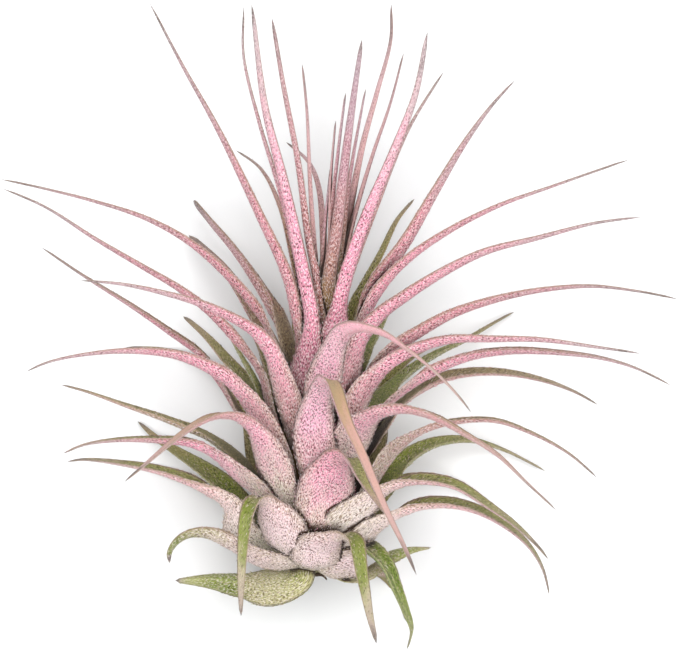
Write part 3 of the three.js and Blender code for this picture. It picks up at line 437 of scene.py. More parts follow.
def follow(row, rooted=True):
    """Steps along a leaf: place, direction, the way its outer face looks, distance and effort of bending.

    A leaf that isn't rooted starts at its first listed point.
    """
    points = row["points"]
    line = middle_line([root_of(points[0]), *points] if rooted else points)
    facing = Vector(row["faces"]) if row["faces"] else points[0] - beside_axis(points[0])[1]
    steps = []
    distance, effort = 0, 0
    before = (line[1] - line[0]).normalized()
    for i, place in enumerate(line):
        along = (line[min(i + 1, len(line) - 1)] - line[max(i - 1, 0)]).normalized()
        facing = (facing - along * facing.dot(along)).normalized()
        if i > 0:
            step = (place - line[i - 1]).length
            distance += step
            effort += step + BEND_SHARE * math.degrees(along.angle(before))
        before = along
        steps.append({"place": place, "along": along, "facing": rolled(row, along, facing, distance),
                      "distance": distance, "effort": effort})
    return steps


def between(steps, key, value):
    """The step, blended from its neighbours, where key reaches value."""
    after = next((s for s in steps if s[key] >= value), steps[-1])
    index = max(1, steps.index(after))
    before = steps[index - 1]
    share = (value - before[key]) / max(1e-9, after[key] - before[key])
    return {k: before[k] + (after[k] - before[k]) * min(1, max(0, share)) for k in before}


def leaf_shape(row, step, length):
    """Half width, half angle of the section's arc and thickness at a step of the leaf."""
    sheath_width, sheath_length = row["sheath"]
    sheath_half = sheath_width / 2
    on_sheath = step["distance"] / sheath_length
    on_blade = (step["distance"] - sheath_length) / (length - sheath_length)
    radius = (step["place"] - beside_axis(step["place"])[1]).length
    wrap = math.asin(min(MOST_WRAP, sheath_half / max(radius, sheath_half)))
    channel = math.radians(CHANNEL_ANGLE)
    if on_sheath < 1:
        if on_sheath < SHEATH_WIDEST:
            swell = mix(SHEATH_FOOT_SHARE, 1, smooth(on_sheath / SHEATH_WIDEST))
        else:
            narrowing = (on_sheath - SHEATH_WIDEST) / (1 - SHEATH_WIDEST)
            swell = mix(1, row["blade"] / sheath_width, smooth(narrowing ** row["full"]))
        return (sheath_half * swell, mix(wrap, channel, on_sheath ** 3),
                mix(SHEATH_THICK, BLADE_THICK, on_sheath))
    half = mix(row["blade"], row["tip"], on_blade) / 2
    half *= 1 - max(0, (on_blade - POINT_SHARE) / (1 - POINT_SHARE)) ** 2
    angle = math.radians(mix(CHANNEL_ANGLE, TIP_ANGLE, on_blade))
    return half, angle, mix(BLADE_THICK, TIP_THICK, on_blade)


def section_point(shape, turn):
    """A point of a leaf's section, across the leaf and towards its outer face.

    A turn of 0 to 1 runs over the outer face from margin to margin, and 1 to 2 back over the inner one.
    """
    half, angle, thick = shape
    rise = half * math.tan(angle / 2)
    if turn <= 1:
        u = 2 * turn - 1
        bulge = rise * (math.cos(u * angle) - math.cos(angle)) / (1 - math.cos(angle))
        return half * math.sin(u * angle) / math.sin(angle), bulge - rise / 2
    u = 3 - 2 * turn
    return half * u, (rise - min(thick, rise * THICKEST_RISE)) * (1 - u * u) - rise / 2


def place_on(step, x, y):
    """The frame's metres for a point of a section, x across the leaf and y towards its outer face.

    What would lie under the surface is pressed flat on it.
    """
    across = step["along"].cross(step["facing"])
    place = step["place"] + across * x + step["facing"] * y + FOOT_AT
    place.z = max(place.z, place.z * PRESSED)
    return place * MM


def layer_of(layers, name):
    """The mesh's layer of this name, made on first use."""
    return layers.get(name) or layers.new(name)


def add_leaf(bm, row, number, rooted=True):
    """Rolls a flat sheet of squares round the leaf's middle line and closes it at both ends."""
    values = bm.verts.layers.float
    growth, inner, across = [layer_of(values, name) for name in ("growth", "inner", "across")]
    fleck = layer_of(bm.verts.layers.float_vector, "fleck_place")
    steps = follow(row, rooted)
    length, effort = steps[-1]["distance"], steps[-1]["effort"]
    stations = [between(steps, "effort", effort * k / STATIONS) for k in range(STATIONS + 1)]
    shapes = [leaf_shape(row, step, length) for step in stations]
    around = OUTER_SIDES + INNER_SIDES
    sheet = bmesh.ops.create_grid(bm, x_segments=STATIONS, y_segments=around, size=1)["verts"]
    for vert in sheet:
        k = round((vert.co.x + 1) / 2 * STATIONS)
        side = round((vert.co.y + 1) / 2 * around)
        turn = side / OUTER_SIDES if side <= OUTER_SIDES else 1 + (side - OUTER_SIDES) / INNER_SIDES
        step = stations[k]
        x, y = section_point(shapes[k], turn)
        vert.co = place_on(step, x, y)
        sheath_length = row["sheath"][1]
        on_sheath = step["distance"] / sheath_length
        on_blade = (step["distance"] - sheath_length) / (length - sheath_length)
        vert[growth] = on_sheath / 2 if on_sheath < 1 else (1 + on_blade) / 2
        vert[inner] = 0.5 if turn in (0, 1, 2) else 0 if turn < 1 else 1
        vert[across] = 2 * turn - 1 if turn <= 1 else 3 - 2 * turn
        vert[fleck] = (vert[across] * shapes[k][0] * LAYOUT_SPREAD, step["distance"],
                       number * LEAF_APART + vert[inner] * FACE_APART)
    bmesh.ops.remove_doubles(bm, verts=sheet, dist=1e-7)
    open_edges = [e for e in bm.edges if e.is_boundary]
    bmesh.ops.holes_fill(bm, edges=open_edges, sides=0)


def scale_spots(row, number):
    """A leaf's raised scales: shade, place, the ways of their width, thickness and length, and size."""
    chance = random.Random(number)
    steps = follow(row)
    length = steps[-1]["distance"]
    stations = [between(steps, "distance", length * i / FINE_STATIONS) for i in range(FINE_STATIONS + 1)]
    outer_mix = SCALE_MIXES.get(row["finish"], ROSY_MIX)
    inner_share = 0 if row["finish"] in SMOOTH_INSIDE else INSIDE_SHARE
    for step in stations:
        half, angle, thick = shape = leaf_shape(row, step, length)
        if step["distance"] < row["sheath"][1] * SCALES_FROM or half < LEAST_HALF:
            continue
        across = step["along"].cross(step["facing"])
        area = 2 * half * angle / math.sin(angle) * length / FINE_STATIONS
        on_blade = step["distance"] > row["sheath"][1]
        beyond = max(0, step["distance"] - row["sheath"][1])
        fading = mix(1, FAR_SHARE, beyond / (length - row["sheath"][1]))
        dense = (BOTH_FACES_MM2 if on_blade else SCALES_A_MM2) * fading
        for _ in range(int(area * dense + chance.random())):
            u = chance.uniform(-1, 1)
            if chance.random() < FRINGE_SHARE:
                u = math.copysign(1, u)
            inside = on_blade and abs(u) < 1 and chance.random() < inner_share
            x, y = section_point(shape, (3 - u) / 2 if inside else (u + 1) / 2)
            bowed = step["facing"] * math.cos(u * angle) + across * math.sin(u * angle)
            outward = -step["facing"] if inside else bowed
            lean = step["along"] + outward * chance.uniform(*LEAN_RANGE)
            lean = (lean + across * chance.uniform(-SIDEWAYS, SIDEWAYS)).normalized()
            side = lean.cross(outward).normalized()
            shift = step["along"] * chance.uniform(0, length / FINE_STATIONS)
            place = step["place"] + across * x + step["facing"] * y + shift
            size = chance.uniform(*SIZE_RANGE) * (INSIDE_SIZE if inside else 1) * fading
            blend = INSIDE_MIX if inside else outer_mix
            shade = chance.choices(list(blend), list(blend.values()))[0]
            yield shade, (place, side, side.cross(lean), lean, size)


def add_scales(bm, spots):
    """One small closed scale, doubled until every spot has one, then moved on to the spots."""
    bmesh.ops.create_cone(bm, cap_ends=True, segments=3, radius1=0.5, radius2=0, depth=1)
    corners = [vert.co.copy() for vert in bm.verts]
    while len(bm.verts) < len(corners) * len(spots):
        missing = len(corners) * len(spots) - len(bm.verts)
        first = [f for f in bm.faces if max(vert.index for vert in f.verts) < missing]
        bmesh.ops.duplicate(bm, geom=first)
        bm.verts.index_update()
    bm.verts.ensure_lookup_table()
    tone, tipward = bm.verts.layers.float.new("tone"), bm.verts.layers.float.new("tipward")
    width, thick, tall = SCALE_SIZE
    for i, (place, side, up, lean, size) in enumerate(spots):
        for k, corner in enumerate(corners):
            vert = bm.verts[i * len(corners) + k]
            ahead = (corner.z + 0.5 - SCALE_SUNK) * tall
            offset = side * corner.x * width + up * corner.y * thick + lean * ahead
            vert.co = (place + offset * size + FOOT_AT) * MM
            vert[tone] = i * GOLDEN_SHARE % 1
            vert[tipward] = corner.z + 0.5
    lay_out_scales(bm, corners, tone, tipward)


def lay_out_scales(bm, corners, tone, tipward):
    """The export's map: each scale is a narrow upright strip, at its own tone across the map."""
    strip = bm.loops.layers.uv.new(EXPORT_MAP)
    for face in bm.faces:
        for loop in face.loops:
            corner = corners[loop.vert.index % len(corners)]
            across = mix(STRIP_WIDE, 1 - STRIP_WIDE, loop.vert[tone]) + corner.x * STRIP_WIDE
            up = mix(STRIP_FOOT, 1 - STRIP_FOOT, loop.vert[tipward]) + corner.y * STRIP_FOOT
            loop[strip].uv = (across, up)


def finish_mesh(bm, name):
    """A smooth object of the bmesh, at the origin, that rides on the plant's only body."""
    bmesh.ops.recalc_face_normals(bm, faces=bm.faces)
    for face in bm.faces:
        face.smooth = True
    mesh = bpy.data.meshes.new(name)
    bm.to_mesh(mesh)
    bm.free()
    piece = bpy.data.objects.new(name, mesh)
    bpy.context.scene.collection.objects.link(piece)
    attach(piece, "root")
    return piece


def colour(red, green, blue):
    """A screen colour from 0 to 255 as the light values that the shader takes."""
    parts = [c / 255 for c in (red, green, blue)]
    return (*[c / 12.92 if c <= 0.04045 else ((c + 0.055) / 1.055) ** 2.4 for c in parts], 1)


class Tree:
    """A material's nodes, with one short call for each kind that the finishes use."""

    def __init__(self, name, roughness):
        self.material = bpy.data.materials.new(name)
        self.material.use_nodes = True
        self.nodes = self.material.node_tree.nodes
        self.links = self.material.node_tree.links
        self.shader = self.nodes["Principled BSDF"]
        self.shader.inputs["Roughness"].default_value = roughness

    def node(self, kind, settings=None, **inputs):
        made = self.nodes.new(kind)
        for key, value in (settings or {}).items():
            setattr(made, key, value)
        for key, value in inputs.items():
            self.feed(made.inputs[key], value)
        return made

    def feed(self, socket, value):
        if isinstance(value, bpy.types.NodeSocket):
            self.links.new(value, socket)
        else:
            socket.default_value = value

    def attribute(self, name, output="Fac"):
        return self.node("ShaderNodeAttribute", {"attribute_name": name}).outputs[output]

    def maths(self, operation, first, second=0.0):
        made = self.node("ShaderNodeMath", {"operation": operation})
        self.feed(made.inputs[0], first)
        self.feed(made.inputs[1], second)
        return made.outputs[0]

    def step(self, value, low, high, to_low=0.0, to_high=1.0):
        made = self.node("ShaderNodeMapRange", {"interpolation_type": "SMOOTHSTEP"})
        for socket, given in zip(made.inputs, (value, low, high, to_low, to_high)):
            self.feed(socket, given)
        return made.outputs[0]

    def ramp(self, factor, stops):
        made = self.node("ShaderNodeValToRGB", Fac=factor)
        elements = made.color_ramp.elements
        while len(elements) < len(stops):
            elements.new(1)
        for element, (position, shade) in zip(elements, stops):
            element.position = position
            element.color = colour(*shade)
        return made.outputs["Color"]

    def blend(self, factor, low, high, kind="MIX"):
        made = self.node("ShaderNodeMix", {"data_type": "RGBA", "blend_type": kind})
        self.feed(made.inputs["Factor"], factor)
        self.feed(made.inputs[6], low)
        self.feed(made.inputs[7], high)
        return made.outputs[2]

    def stretched(self, vector, scale, turn=0.0):
        """Turns a vector in its own plane, then scales it."""
        turned = self.node("ShaderNodeMapping", Vector=vector, Rotation=(0, 0, math.radians(turn)))
        scaled = self.node("ShaderNodeMapping", Vector=turned.outputs["Vector"], Scale=scale)
        return scaled.outputs["Vector"]

    def noise(self, vector, scale, detail=2.0):
        return self.node("ShaderNodeTexNoise", Vector=vector, Scale=scale, Detail=detail).outputs["Fac"]


# Shades that all leaves share: the middle line, the pale strokes on either face, the very edge with its pale
# fringe and painted highlight, the painted shade of closed-off skin, the tint of the skin's sheen, and the
# tint of a scale's foot
VEIN_SHADE = (214, 222, 150)
FROST_OUTSIDE = (255, 242, 242)
FROST_INSIDE = (212, 194, 148)
EDGE_FRINGE_AND_HIGHLIGHT = (226, 204, 190)
CREVICE_PAINTED_SHADE = (74, 50, 30)
SHEEN_TINT = (245, 232, 228)
SCALE_FOOT_TINT = (212, 190, 176)


def leaf_finish(name, outer, inner, margin=(188, 170, 150), rim=(150, 128, 100), strokes=(112, 62, 70),
                streaks=1.0, frost=0.6, vein=0.0, smooth_from=1.0, smooth_to=0.5):
    """Skin of a leaf: colours along both faces, paler margins, dark and pale strokes along the leaf, painted
    crevice shade.

    Streaks and frost say how strong the strokes are, and vein how clear the pale middle line is. Past the
    growth smooth_from only the share smooth_to of the strokes is left.
    """
    tree = Tree(name, 0.72)
    growth = tree.attribute("growth")
    place = tree.attribute("fleck_place", "Vector")
    across = tree.maths("ABSOLUTE", tree.attribute("across"))
    on_inner = tree.step(tree.attribute("inner"), 0.4, 0.9)
    drift = tree.noise(tree.stretched(place, (0.5, 0.22, 1)), 1.0, 3.0)
    wandered = tree.maths("ADD", growth, tree.step(drift, 0.3, 0.7, -0.05, 0.05))
    skin = tree.blend(on_inner, tree.ramp(wandered, outer), tree.ramp(wandered, inner))
    aside = tree.maths("MULTIPLY", tree.step(across, 0.4, 0.95), tree.step(growth, 0.56, 0.4))
    skin = tree.blend(tree.maths("MULTIPLY", aside, 0.7), skin, colour(*margin))
    grain = tree.noise(tree.stretched(place, GRAIN, STROKE_LEAN), 1.0, 2.0)
    hair = tree.noise(tree.stretched(place, GRAIN, -STROKE_LEAN), 1.0, 1.0)
    worn = tree.noise(tree.stretched(place, (0.8, 0.3, 1)), 1.0, 2.0)
    left = tree.step(growth, 0.48, smooth_from, 1.0, smooth_to)
    wear = tree.maths("MULTIPLY", tree.step(worn, 0.36, 0.6, 0.55, 1.0), left)
    dark = tree.maths("MULTIPLY", tree.step(grain, 0.5, 0.41), tree.maths("MULTIPLY", wear, streaks))
    bare = tree.step(on_inner, 0.0, 1.0, 1.0, 0.6)
    frosted = tree.maths("MULTIPLY", tree.maths("MULTIPLY", bare, frost), left)
    pale = tree.maths("MULTIPLY", tree.step(hair, 0.5, 0.6), frosted)
    middle = tree.maths("MULTIPLY", tree.step(across, 0.2, 0.04), tree.step(growth, 0.4, 0.5, 0.0, vein))
    skin = tree.blend(middle, skin, colour(*VEIN_SHADE))
    skin = tree.blend(pale, skin, tree.blend(on_inner, colour(*FROST_OUTSIDE), colour(*FROST_INSIDE)))
    skin = tree.blend(dark, skin, tree.blend(1.0, skin, colour(*strokes), "MULTIPLY"))
    brink = tree.maths("MULTIPLY", tree.step(across, 0.72, 0.92), tree.step(growth, 0.42, 0.54))
    skin = tree.blend(tree.maths("MULTIPLY", brink, 0.6), skin, colour(*rim))
    # A pale line along the very edge: the pale fringe of scales, partly painted highlight.
    edge = tree.maths("MULTIPLY", tree.step(across, 0.95, 1.0), tree.step(growth, 0.3, 0.5))
    skin = tree.blend(tree.maths("MULTIPLY", edge, 0.5), skin, colour(*EDGE_FRINGE_AND_HIGHLIGHT))
    # Painted shade: skin that other skin closes off is darkened towards brown.
    shade = tree.step(tree.attribute("closed"), 0.1, 0.5)
    skin = tree.blend(shade, skin, tree.blend(1.0, skin, colour(*CREVICE_PAINTED_SHADE), "MULTIPLY"))
    bump = tree.node("ShaderNodeBump", Height=grain, Strength=0.8, Distance=0.00025)
    tree.feed(tree.shader.inputs["Base Color"], skin)
    tree.feed(tree.shader.inputs["Normal"], bump.outputs["Normal"])
    tree.shader.inputs["Specular IOR Level"].default_value = 0.3
    tree.shader.inputs["Sheen Weight"].default_value = 0.18
    tree.shader.inputs["Sheen Roughness"].default_value = 0.5
    tree.shader.inputs["Sheen Tint"].default_value = colour(*SHEEN_TINT)
    return tree.material


# The painted shade deep at the root of the inner face, and the colour at the tip, which all finishes share
HOLLOW_PAINTED_SHADE = (0, (70, 60, 32))
TIP = (1, (124, 112, 108))

# The finishes of the leaves: colours of the outer face, then of the inner one.
# Along a leaf 0 is the root, 0.5 the end of the sheath and 1 the tip.
FINISHES = {
    "silver": dict(
        outer=[(0, (180, 178, 142)), (0.16, (222, 216, 196)), (0.34, (246, 228, 222)),
               (0.48, (244, 208, 206)), (0.6, (238, 182, 188)), (0.78, (216, 176, 178)),
               (0.92, (192, 172, 168)), TIP],
        inner=[HOLLOW_PAINTED_SHADE, (0.4, (98, 106, 44)), (0.52, (126, 132, 62)), (0.66, (138, 146, 74)),
               (0.8, (152, 150, 94)), (0.92, (166, 152, 126)), TIP],
        margin=(214, 198, 178), strokes=(124, 102, 86)),
    "beige": dict(
        outer=[(0, (176, 168, 136)), (0.12, (204, 190, 172)), (0.3, (240, 212, 214)),
               (0.46, (232, 198, 200)), (0.6, (202, 184, 160)), (0.75, (200, 178, 162)),
               (0.93, (186, 170, 158)), TIP],
        inner=[HOLLOW_PAINTED_SHADE, (0.46, (150, 146, 104)), (0.54, (132, 138, 70)), (0.62, (116, 132, 38)),
               (0.72, (146, 154, 84)), (0.82, (196, 186, 152)), (0.93, (194, 176, 162)), TIP],
        strokes=(120, 92, 84), smooth_from=0.66, smooth_to=0.3),
    "tinged": dict(
        outer=[(0, (176, 168, 136)), (0.12, (204, 190, 172)), (0.3, (236, 210, 204)),
               (0.46, (212, 190, 180)), (0.6, (196, 184, 160)), (0.7, (158, 154, 112)),
               (0.82, (118, 130, 62)), (0.94, (140, 146, 84)), TIP],
        inner=[HOLLOW_PAINTED_SHADE, (0.46, (150, 146, 104)), (0.6, (132, 138, 70)), (0.8, (118, 134, 42)),
               (0.93, (136, 142, 70)), TIP],
        strokes=(120, 92, 84)),
    "blush": dict(
        outer=[(0, (160, 152, 112)), (0.14, (196, 184, 158)), (0.26, (224, 190, 184)),
               (0.38, (242, 170, 190)), (0.5, (244, 160, 184)), (0.62, (222, 156, 166)),
               (0.78, (202, 162, 164)), (0.92, (190, 166, 164)), TIP],
        inner=[HOLLOW_PAINTED_SHADE, (0.42, (140, 140, 74)), (0.54, (142, 150, 78)), (0.68, (142, 154, 80)),
               (0.8, (164, 158, 98)), (0.92, (196, 166, 146)), TIP]),
    "crossed": dict(
        outer=[(0, (166, 158, 122)), (0.14, (200, 190, 168)), (0.27, (228, 196, 190)),
               (0.44, (248, 172, 194)), (0.6, (214, 160, 160)), (0.78, (204, 166, 160)),
               (0.93, (198, 174, 168)), TIP],
        inner=[HOLLOW_PAINTED_SHADE, (0.42, (144, 134, 84)), (0.54, (176, 162, 118)), (0.62, (186, 160, 120)),
               (0.72, (206, 168, 142)), (0.82, (212, 168, 158)), (0.93, (202, 166, 164)), TIP],
        smooth_from=0.7, smooth_to=0.25),
    "pink": dict(
        outer=[(0, (136, 104, 78)), (0.14, (190, 148, 138)), (0.3, (222, 158, 166)),
               (0.45, (246, 166, 188)), (0.6, (232, 156, 174)), (0.78, (208, 160, 168)),
               (0.92, (188, 164, 166)), TIP],
        inner=[HOLLOW_PAINTED_SHADE, (0.42, (126, 100, 62)), (0.54, (158, 128, 94)), (0.66, (188, 142, 124)),
               (0.82, (190, 152, 148)), (0.93, (176, 154, 150)), TIP]),
    "deep": dict(
        outer=[(0, (106, 74, 50)), (0.14, (144, 100, 86)), (0.28, (188, 114, 134)),
               (0.44, (226, 142, 166)), (0.6, (238, 158, 182)), (0.75, (236, 172, 188)),
               (0.88, (208, 176, 180)), (0.95, (184, 164, 166)), TIP],
        inner=[HOLLOW_PAINTED_SHADE, (0.42, (112, 86, 50)), (0.6, (160, 120, 96)), (0.85, (186, 150, 146)), TIP],
        margin=(156, 114, 104), strokes=(98, 46, 58)),
    "arch": dict(
        outer=[(0, (150, 120, 102)), (0.16, (218, 166, 172)), (0.32, (255, 188, 212)),
               (0.48, (255, 198, 216)), (0.62, (246, 184, 194)), (0.8, (214, 172, 170)),
               (0.93, (204, 176, 170)), TIP],
        inner=[HOLLOW_PAINTED_SHADE, (0.38, (164, 140, 98)), (0.52, (186, 164, 118)), (0.62, (192, 158, 120)),
               (0.74, (216, 168, 156)), (0.9, (206, 168, 162)), TIP],
        smooth_from=0.6, smooth_to=0.15),
    "rose": dict(
        outer=[(0, (112, 80, 54)), (0.18, (160, 118, 102)), (0.36, (192, 134, 132)),
               (0.5, (222, 148, 160)), (0.64, (218, 148, 160)), (0.78, (198, 152, 158)),
               (0.92, (176, 152, 154)), TIP],
        inner=[HOLLOW_PAINTED_SHADE, (0.42, (112, 86, 50)), (0.56, (146, 110, 80)), (0.7, (172, 126, 114)),
               (0.9, (168, 140, 134)), TIP]),
    "umber": dict(
        outer=[(0, (98, 72, 44)), (0.2, (136, 102, 74)), (0.42, (160, 112, 92)), (0.58, (188, 132, 130)),
               (0.75, (192, 142, 146)), (0.9, (184, 148, 150)), TIP],
        inner=[HOLLOW_PAINTED_SHADE, (0.42, (114, 88, 48)), (0.6, (166, 126, 108)), (0.85, (186, 148, 144)), TIP]),
    "dusky": dict(
        outer=[(0, (160, 142, 110)), (0.2, (186, 168, 140)), (0.42, (194, 154, 140)),
               (0.55, (212, 160, 156)), (0.7, (210, 162, 160)), (0.85, (192, 160, 158)),
               (0.94, (172, 152, 148)), TIP],
        inner=[HOLLOW_PAINTED_SHADE, (0.42, (114, 106, 60)), (0.56, (142, 128, 84)), (0.72, (156, 138, 98)),
               (0.9, (170, 150, 128)), TIP]),
    "olive": dict(
        outer=[(0, (116, 106, 58)), (0.3, (140, 130, 82)), (0.55, (176, 150, 124)),
               (0.72, (204, 168, 156)), (0.88, (192, 160, 152)), TIP],
        inner=[HOLLOW_PAINTED_SHADE, (0.42, (114, 114, 44)), (0.55, (134, 134, 62)), (0.75, (150, 142, 84)),
               (0.9, (166, 148, 112)), TIP],
        margin=(150, 138, 100), rim=(170, 148, 112), strokes=(104, 84, 52), frost=0.75),
    "heart": dict(
        outer=[(0, (110, 84, 40)), (0.3, (134, 106, 60)), (0.55, (178, 130, 124)),
               (0.75, (190, 144, 154)), (0.92, (180, 154, 162)), TIP],
        inner=[HOLLOW_PAINTED_SHADE, (0.25, (124, 100, 62)), (0.42, (184, 142, 130)), (0.6, (212, 166, 168)),
               (0.85, (208, 172, 176)), TIP],
        rim=(204, 160, 158), frost=0.4, streaks=0.8),
    "green": dict(
        outer=[(0, (140, 146, 76)), (0.25, (126, 136, 58)), (0.5, (132, 142, 62)),
               (0.65, (146, 150, 80)), (0.8, (162, 152, 104)), (0.92, (160, 142, 116)), TIP],
        inner=[HOLLOW_PAINTED_SHADE, (0.36, (112, 126, 30)), (0.5, (126, 144, 36)), (0.64, (128, 140, 46)),
               (0.8, (142, 138, 72)), (0.92, (160, 142, 108)), TIP],
        margin=(152, 150, 92), rim=(168, 164, 104), strokes=(84, 92, 40), frost=0.8),
    "moss": dict(
        outer=[(0, (160, 162, 84)), (0.2, (186, 182, 136)), (0.4, (172, 166, 126)),
               (0.52, (118, 130, 58)), (0.7, (128, 138, 68)), (0.85, (154, 156, 100)),
               (0.94, (160, 154, 124)), TIP],
        inner=[HOLLOW_PAINTED_SHADE, (0.45, (132, 146, 44)), (0.7, (138, 148, 60)), (0.9, (166, 160, 110)), TIP],
        margin=(188, 180, 136), rim=(168, 166, 112), strokes=(128, 116, 84),
        streaks=0.8, frost=0.4, vein=0.2),
    "lime": dict(
        outer=[(0, (200, 206, 108)), (0.2, (166, 172, 84)), (0.42, (122, 132, 40)),
               (0.56, (100, 122, 24)), (0.7, (112, 136, 38)), (0.84, (142, 156, 74)),
               (0.94, (160, 156, 116)), TIP],
        inner=[HOLLOW_PAINTED_SHADE, (0.5, (96, 112, 24)), (0.62, (108, 134, 34)), (0.78, (128, 146, 56)),
               (0.92, (166, 168, 112)), TIP],
        margin=(176, 180, 120), rim=(170, 178, 112), strokes=(96, 108, 54), frost=0.35, vein=0.3),
}


# The raised scales' darkest and palest shades, and how each finish mixes them. The darkest scales are painted
# shade, standing for the shadowed gaps between scales.
SCALE_SHADES = {"frosted": ((240, 220, 224), (255, 247, 245)), "rosy": ((222, 152, 174), (247, 198, 210)),
                "straw": ((206, 192, 156), (238, 228, 204)), "leafy": ((142, 152, 82), (184, 190, 124)),
                "dusk": ((48, 44, 20), (84, 76, 42))}
ROSY_MIX = {"frosted": 6, "rosy": 4}
PALE_MIX = {"frosted": 6, "straw": 4}
LEAFY_MIX = {"straw": 5, "leafy": 5}
# Inside a blade the darkest scales are painted shade between the scales.
INSIDE_MIX = {"frosted": 1, "straw": 6, "dusk": 5}
SMOOTH_INSIDE = ("arch", "crossed")
SCALE_MIXES = {"silver": PALE_MIX, "beige": PALE_MIX, "tinged": PALE_MIX, "olive": LEAFY_MIX,
               "green": LEAFY_MIX, "moss": LEAFY_MIX, "lime": LEAFY_MIX}


def root_finish():
    """Dark dry root bark, cracked along."""
    tree = Tree("Dry root", 0.9)
    place = tree.node("ShaderNodeTexCoord").outputs["Object"]
    grain = tree.noise(tree.stretched(place, (900, 300, 900)), 1.0, 4.0)
    bark = tree.ramp(grain, [(0.3, (34, 26, 20)), (0.55, (82, 66, 54)), (0.8, (150, 132, 112))])
    bump = tree.node("ShaderNodeBump", Height=grain, Strength=0.8, Distance=0.0002)
    tree.feed(tree.shader.inputs["Base Color"], bark)
    tree.feed(tree.shader.inputs["Normal"], bump.outputs["Normal"])
    return tree.material


def floor_finish():
    """Plain pale matt surface."""
    tree = Tree("Pale surface", 0.9)
    place = tree.node("ShaderNodeTexCoord").outputs["Object"]
    shade = tree.ramp(tree.noise(place, 60.0), [(0.3, (240, 241, 242)), (0.7, (246, 246, 246))])
    tree.feed(tree.shader.inputs["Base Color"], shade)
    return tree.material


def make_camera():
    """A long lens straight above, so far off that the plant is seen almost without perspective."""
    camera = bpy.data.cameras.new("Camera")
    camera.sensor_width = SENSOR
    width = MM_A_PIXEL * PHOTO_WIDTH
    camera.lens = SENSOR * (CAMERA_HEIGHT - MIDDLE_HEIGHT) / width
    camera.clip_end = SIGHT * MM
    holder = bpy.data.objects.new("Camera", camera)
    holder.location = (0, CAMERA_UP * MM, CAMERA_HEIGHT * MM)
    bpy.context.scene.collection.objects.link(holder)
    bpy.context.scene.camera = holder


def make_light():
    """One large soft round light above the plant."""
    light = bpy.data.lights.new("Soft light", "AREA")
    light.shape = "DISK"
    light.size = LIGHT_SIZE
    light.energy = LIGHT_POWER
    holder = bpy.data.objects.new("Soft light", light)
    holder.location = LIGHT_AT
    holder.rotation_euler = (Vector(LIGHT_AIM) - Vector(LIGHT_AT)).to_track_quat("-Z", "Y").to_euler()
    bpy.context.scene.collection.objects.link(holder)


def make_surroundings():
    """A broad pale floor, one large soft light above and an even pale sky."""
    bm = bmesh.new()
    bmesh.ops.create_grid(bm, x_segments=1, y_segments=1, size=FLOOR_SIZE)
    mesh = bpy.data.meshes.new("floor")
    bm.to_mesh(mesh)
    bm.free()
    mesh.materials.append(floor_finish())
    floor = bpy.data.objects.new("floor", mesh)
    bpy.context.scene.collection.objects.link(floor)
    make_light()
    world = bpy.data.worlds.new("Sky")
    world.use_nodes = True
    sky = world.node_tree.nodes["Background"]
    sky.inputs["Color"].default_value = colour(*SKY_SHADE)
    sky.inputs["Strength"].default_value = SKY_STRENGTH
    bpy.context.scene.world = world
    bpy.context.scene.view_settings.view_transform = "Standard"


def make_leaves(finishes):
    """Every leaf anew, finely and with its finish, in the place of the frame's plain one."""
    pieces = []
    for number, row in enumerate(LEAVES):
        bm = bmesh.new()
        add_leaf(bm, row, number)
        piece = finish_mesh(bm, "fine_" + row["name"])
        piece.data.materials.append(finishes[row["finish"]])
        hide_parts(row["name"])
        pieces.append(piece)
    return pieces


def looks_round(normal):
    """Directions spread over the half sphere above a surface."""
    side = normal.orthogonal().normalized()
    other = normal.cross(side)
    for i in range(CREVICE_LOOKS):
        lean = math.sqrt((i + 0.5) / CREVICE_LOOKS)
        turn = i * GOLDEN_ANGLE
        flat = side * math.cos(turn) + other * math.sin(turn)
        yield flat * lean + normal * math.sqrt(1 - lean * lean)


def paint_crevice_shade(pieces):
    """Stores on every vertex the share of its surroundings that other skin closes off, for painted crevice
    shade.
    """
    places, faces = [], []
    for piece in pieces:
        first = len(places)
        places += [vert.co.copy() for vert in piece.data.vertices]
        faces += [[first + i for i in face.vertices] for face in piece.data.polygons]
    skin = BVHTree.FromPolygons(places, faces)
    for piece in pieces:
        closed = piece.data.attributes.new("closed", "FLOAT", "POINT")
        for vert, value in zip(piece.data.vertices, closed.data):
            start = vert.co + vert.normal * CREVICE_LIFT * MM
            looks = [skin.ray_cast(start, look, CREVICE_REACH * MM)[3] for look in looks_round(vert.normal)]
            near = [1 - found / (CREVICE_REACH * MM) for found in looks if found is not None]
            value.value = sum(near) / CREVICE_LOOKS


def scale_finish(name, darkest, palest):
    """A raised scale: no two quite alike, and duller at the foot."""
    tree = Tree("Scales " + name, 0.6)
    shade = tree.blend(tree.attribute("tone"), colour(*darkest), colour(*palest))
    foot = tree.blend(1.0, shade, colour(*SCALE_FOOT_TINT), "MULTIPLY")
    skin = tree.blend(tree.step(tree.attribute("tipward"), 0.0, 0.6), foot, shade)
    tree.feed(tree.shader.inputs["Base Color"], skin)
    return tree.material


def make_scales():
    """The raised scales of the leaves that show, one piece for each shade."""
    spots = {name: [] for name in SCALE_SHADES}
    for number, row in enumerate(LEAVES):
        if not row["name"].startswith("under"):
            for shade, spot in scale_spots(row, number):
                spots[shade].append(spot)
    for name, shades in SCALE_SHADES.items():
        bm = bmesh.new()
        add_scales(bm, spots[name])
        piece = finish_mesh(bm, "scales_" + name)
        piece.data.materials.append(scale_finish(name, *shades))


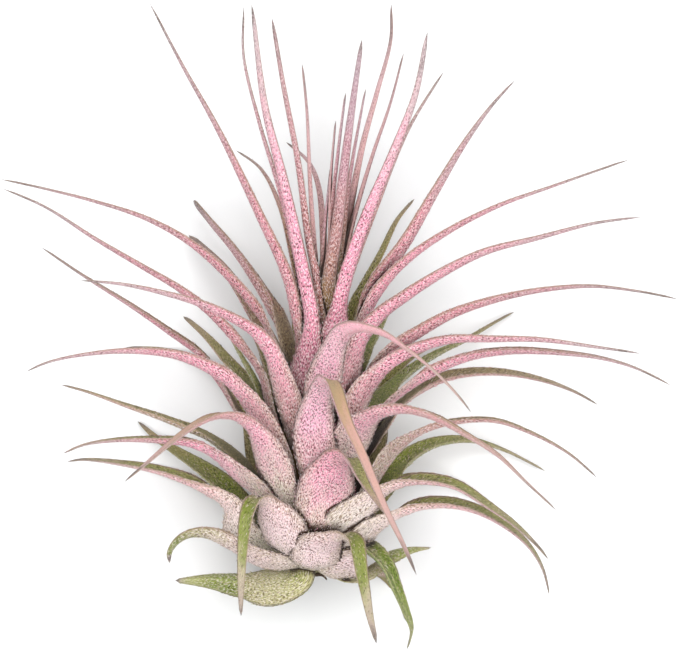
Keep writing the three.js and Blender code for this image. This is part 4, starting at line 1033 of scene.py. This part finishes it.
def add_round_body(bm, profile, sides):
    """Spins a profile given along the stem's axis round that axis."""
    out = AXIS.orthogonal().normalized()
    line = [bm.verts.new((FOOT + AXIS * along + out * radius + FOOT_AT) * MM) for along, radius in profile]
    edges = [bm.edges.new(pair) for pair in zip(line, line[1:])]
    bmesh.ops.spin(bm, geom=[*line, *edges], cent=(FOOT + FOOT_AT) * MM, axis=AXIS, dvec=(0, 0, 0),
                   angle=math.tau, steps=sides, use_merge=True, use_duplicate=False)
    bmesh.ops.remove_doubles(bm, verts=bm.verts, dist=1e-6)


def make_heart(finishes):
    """The stout stem with the bunch of youngest leaves in its tip."""
    bm = bmesh.new()
    add_round_body(bm, HEART, HEART_SIDES)
    for number, row in enumerate(YOUNG_LEAVES):
        add_leaf(bm, row, number + len(LEAVES), rooted=False)
    piece = finish_mesh(bm, "fine_heart")
    piece.data.materials.append(finishes["heart"])
    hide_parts("heart")
    return piece


def add_dried_bit(bm, start, end, radius):
    """A crooked little dried root, thinner at its end."""
    way = end - start
    others = set(bm.verts)
    bmesh.ops.create_cone(bm, cap_ends=True, segments=BIT_SIDES, radius1=radius, radius2=radius * BIT_TAPER,
                          depth=way.length)
    added = [edge for edge in bm.edges if edge.verts[0] not in others]
    sides = [edge for edge in added if edge.calc_length() > way.length * 0.9]
    bmesh.ops.subdivide_edges(bm, edges=sides, cuts=BIT_CUTS)
    turn = way.to_track_quat("Z", "Y").to_matrix()
    for vert in set(bm.verts) - others:
        bend = math.sin((vert.co.z / way.length + 0.5) * math.pi) * radius * BIT_BEND
        vert.co = (turn @ (vert.co + Vector((bend, 0, 0))) + (start + end) / 2 + FOOT_AT) * MM


def make_root_stub():
    """The dried root end below the heart, with its loose bits."""
    bm = bmesh.new()
    add_round_body(bm, STUB, STUB_SIDES)
    for start, end, radius in DRIED_BITS:
        add_dried_bit(bm, start, end, radius)
    piece = finish_mesh(bm, "fine_root_stub")
    piece.data.materials.append(root_finish())
    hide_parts("root_stub")


make_camera()
make_surroundings()
leaf_finishes = {name: leaf_finish("Leaf " + name, **shades) for name, shades in FINISHES.items()}
paint_crevice_shade([*make_leaves(leaf_finishes), make_heart(leaf_finishes)])
make_scales()
make_root_stub()
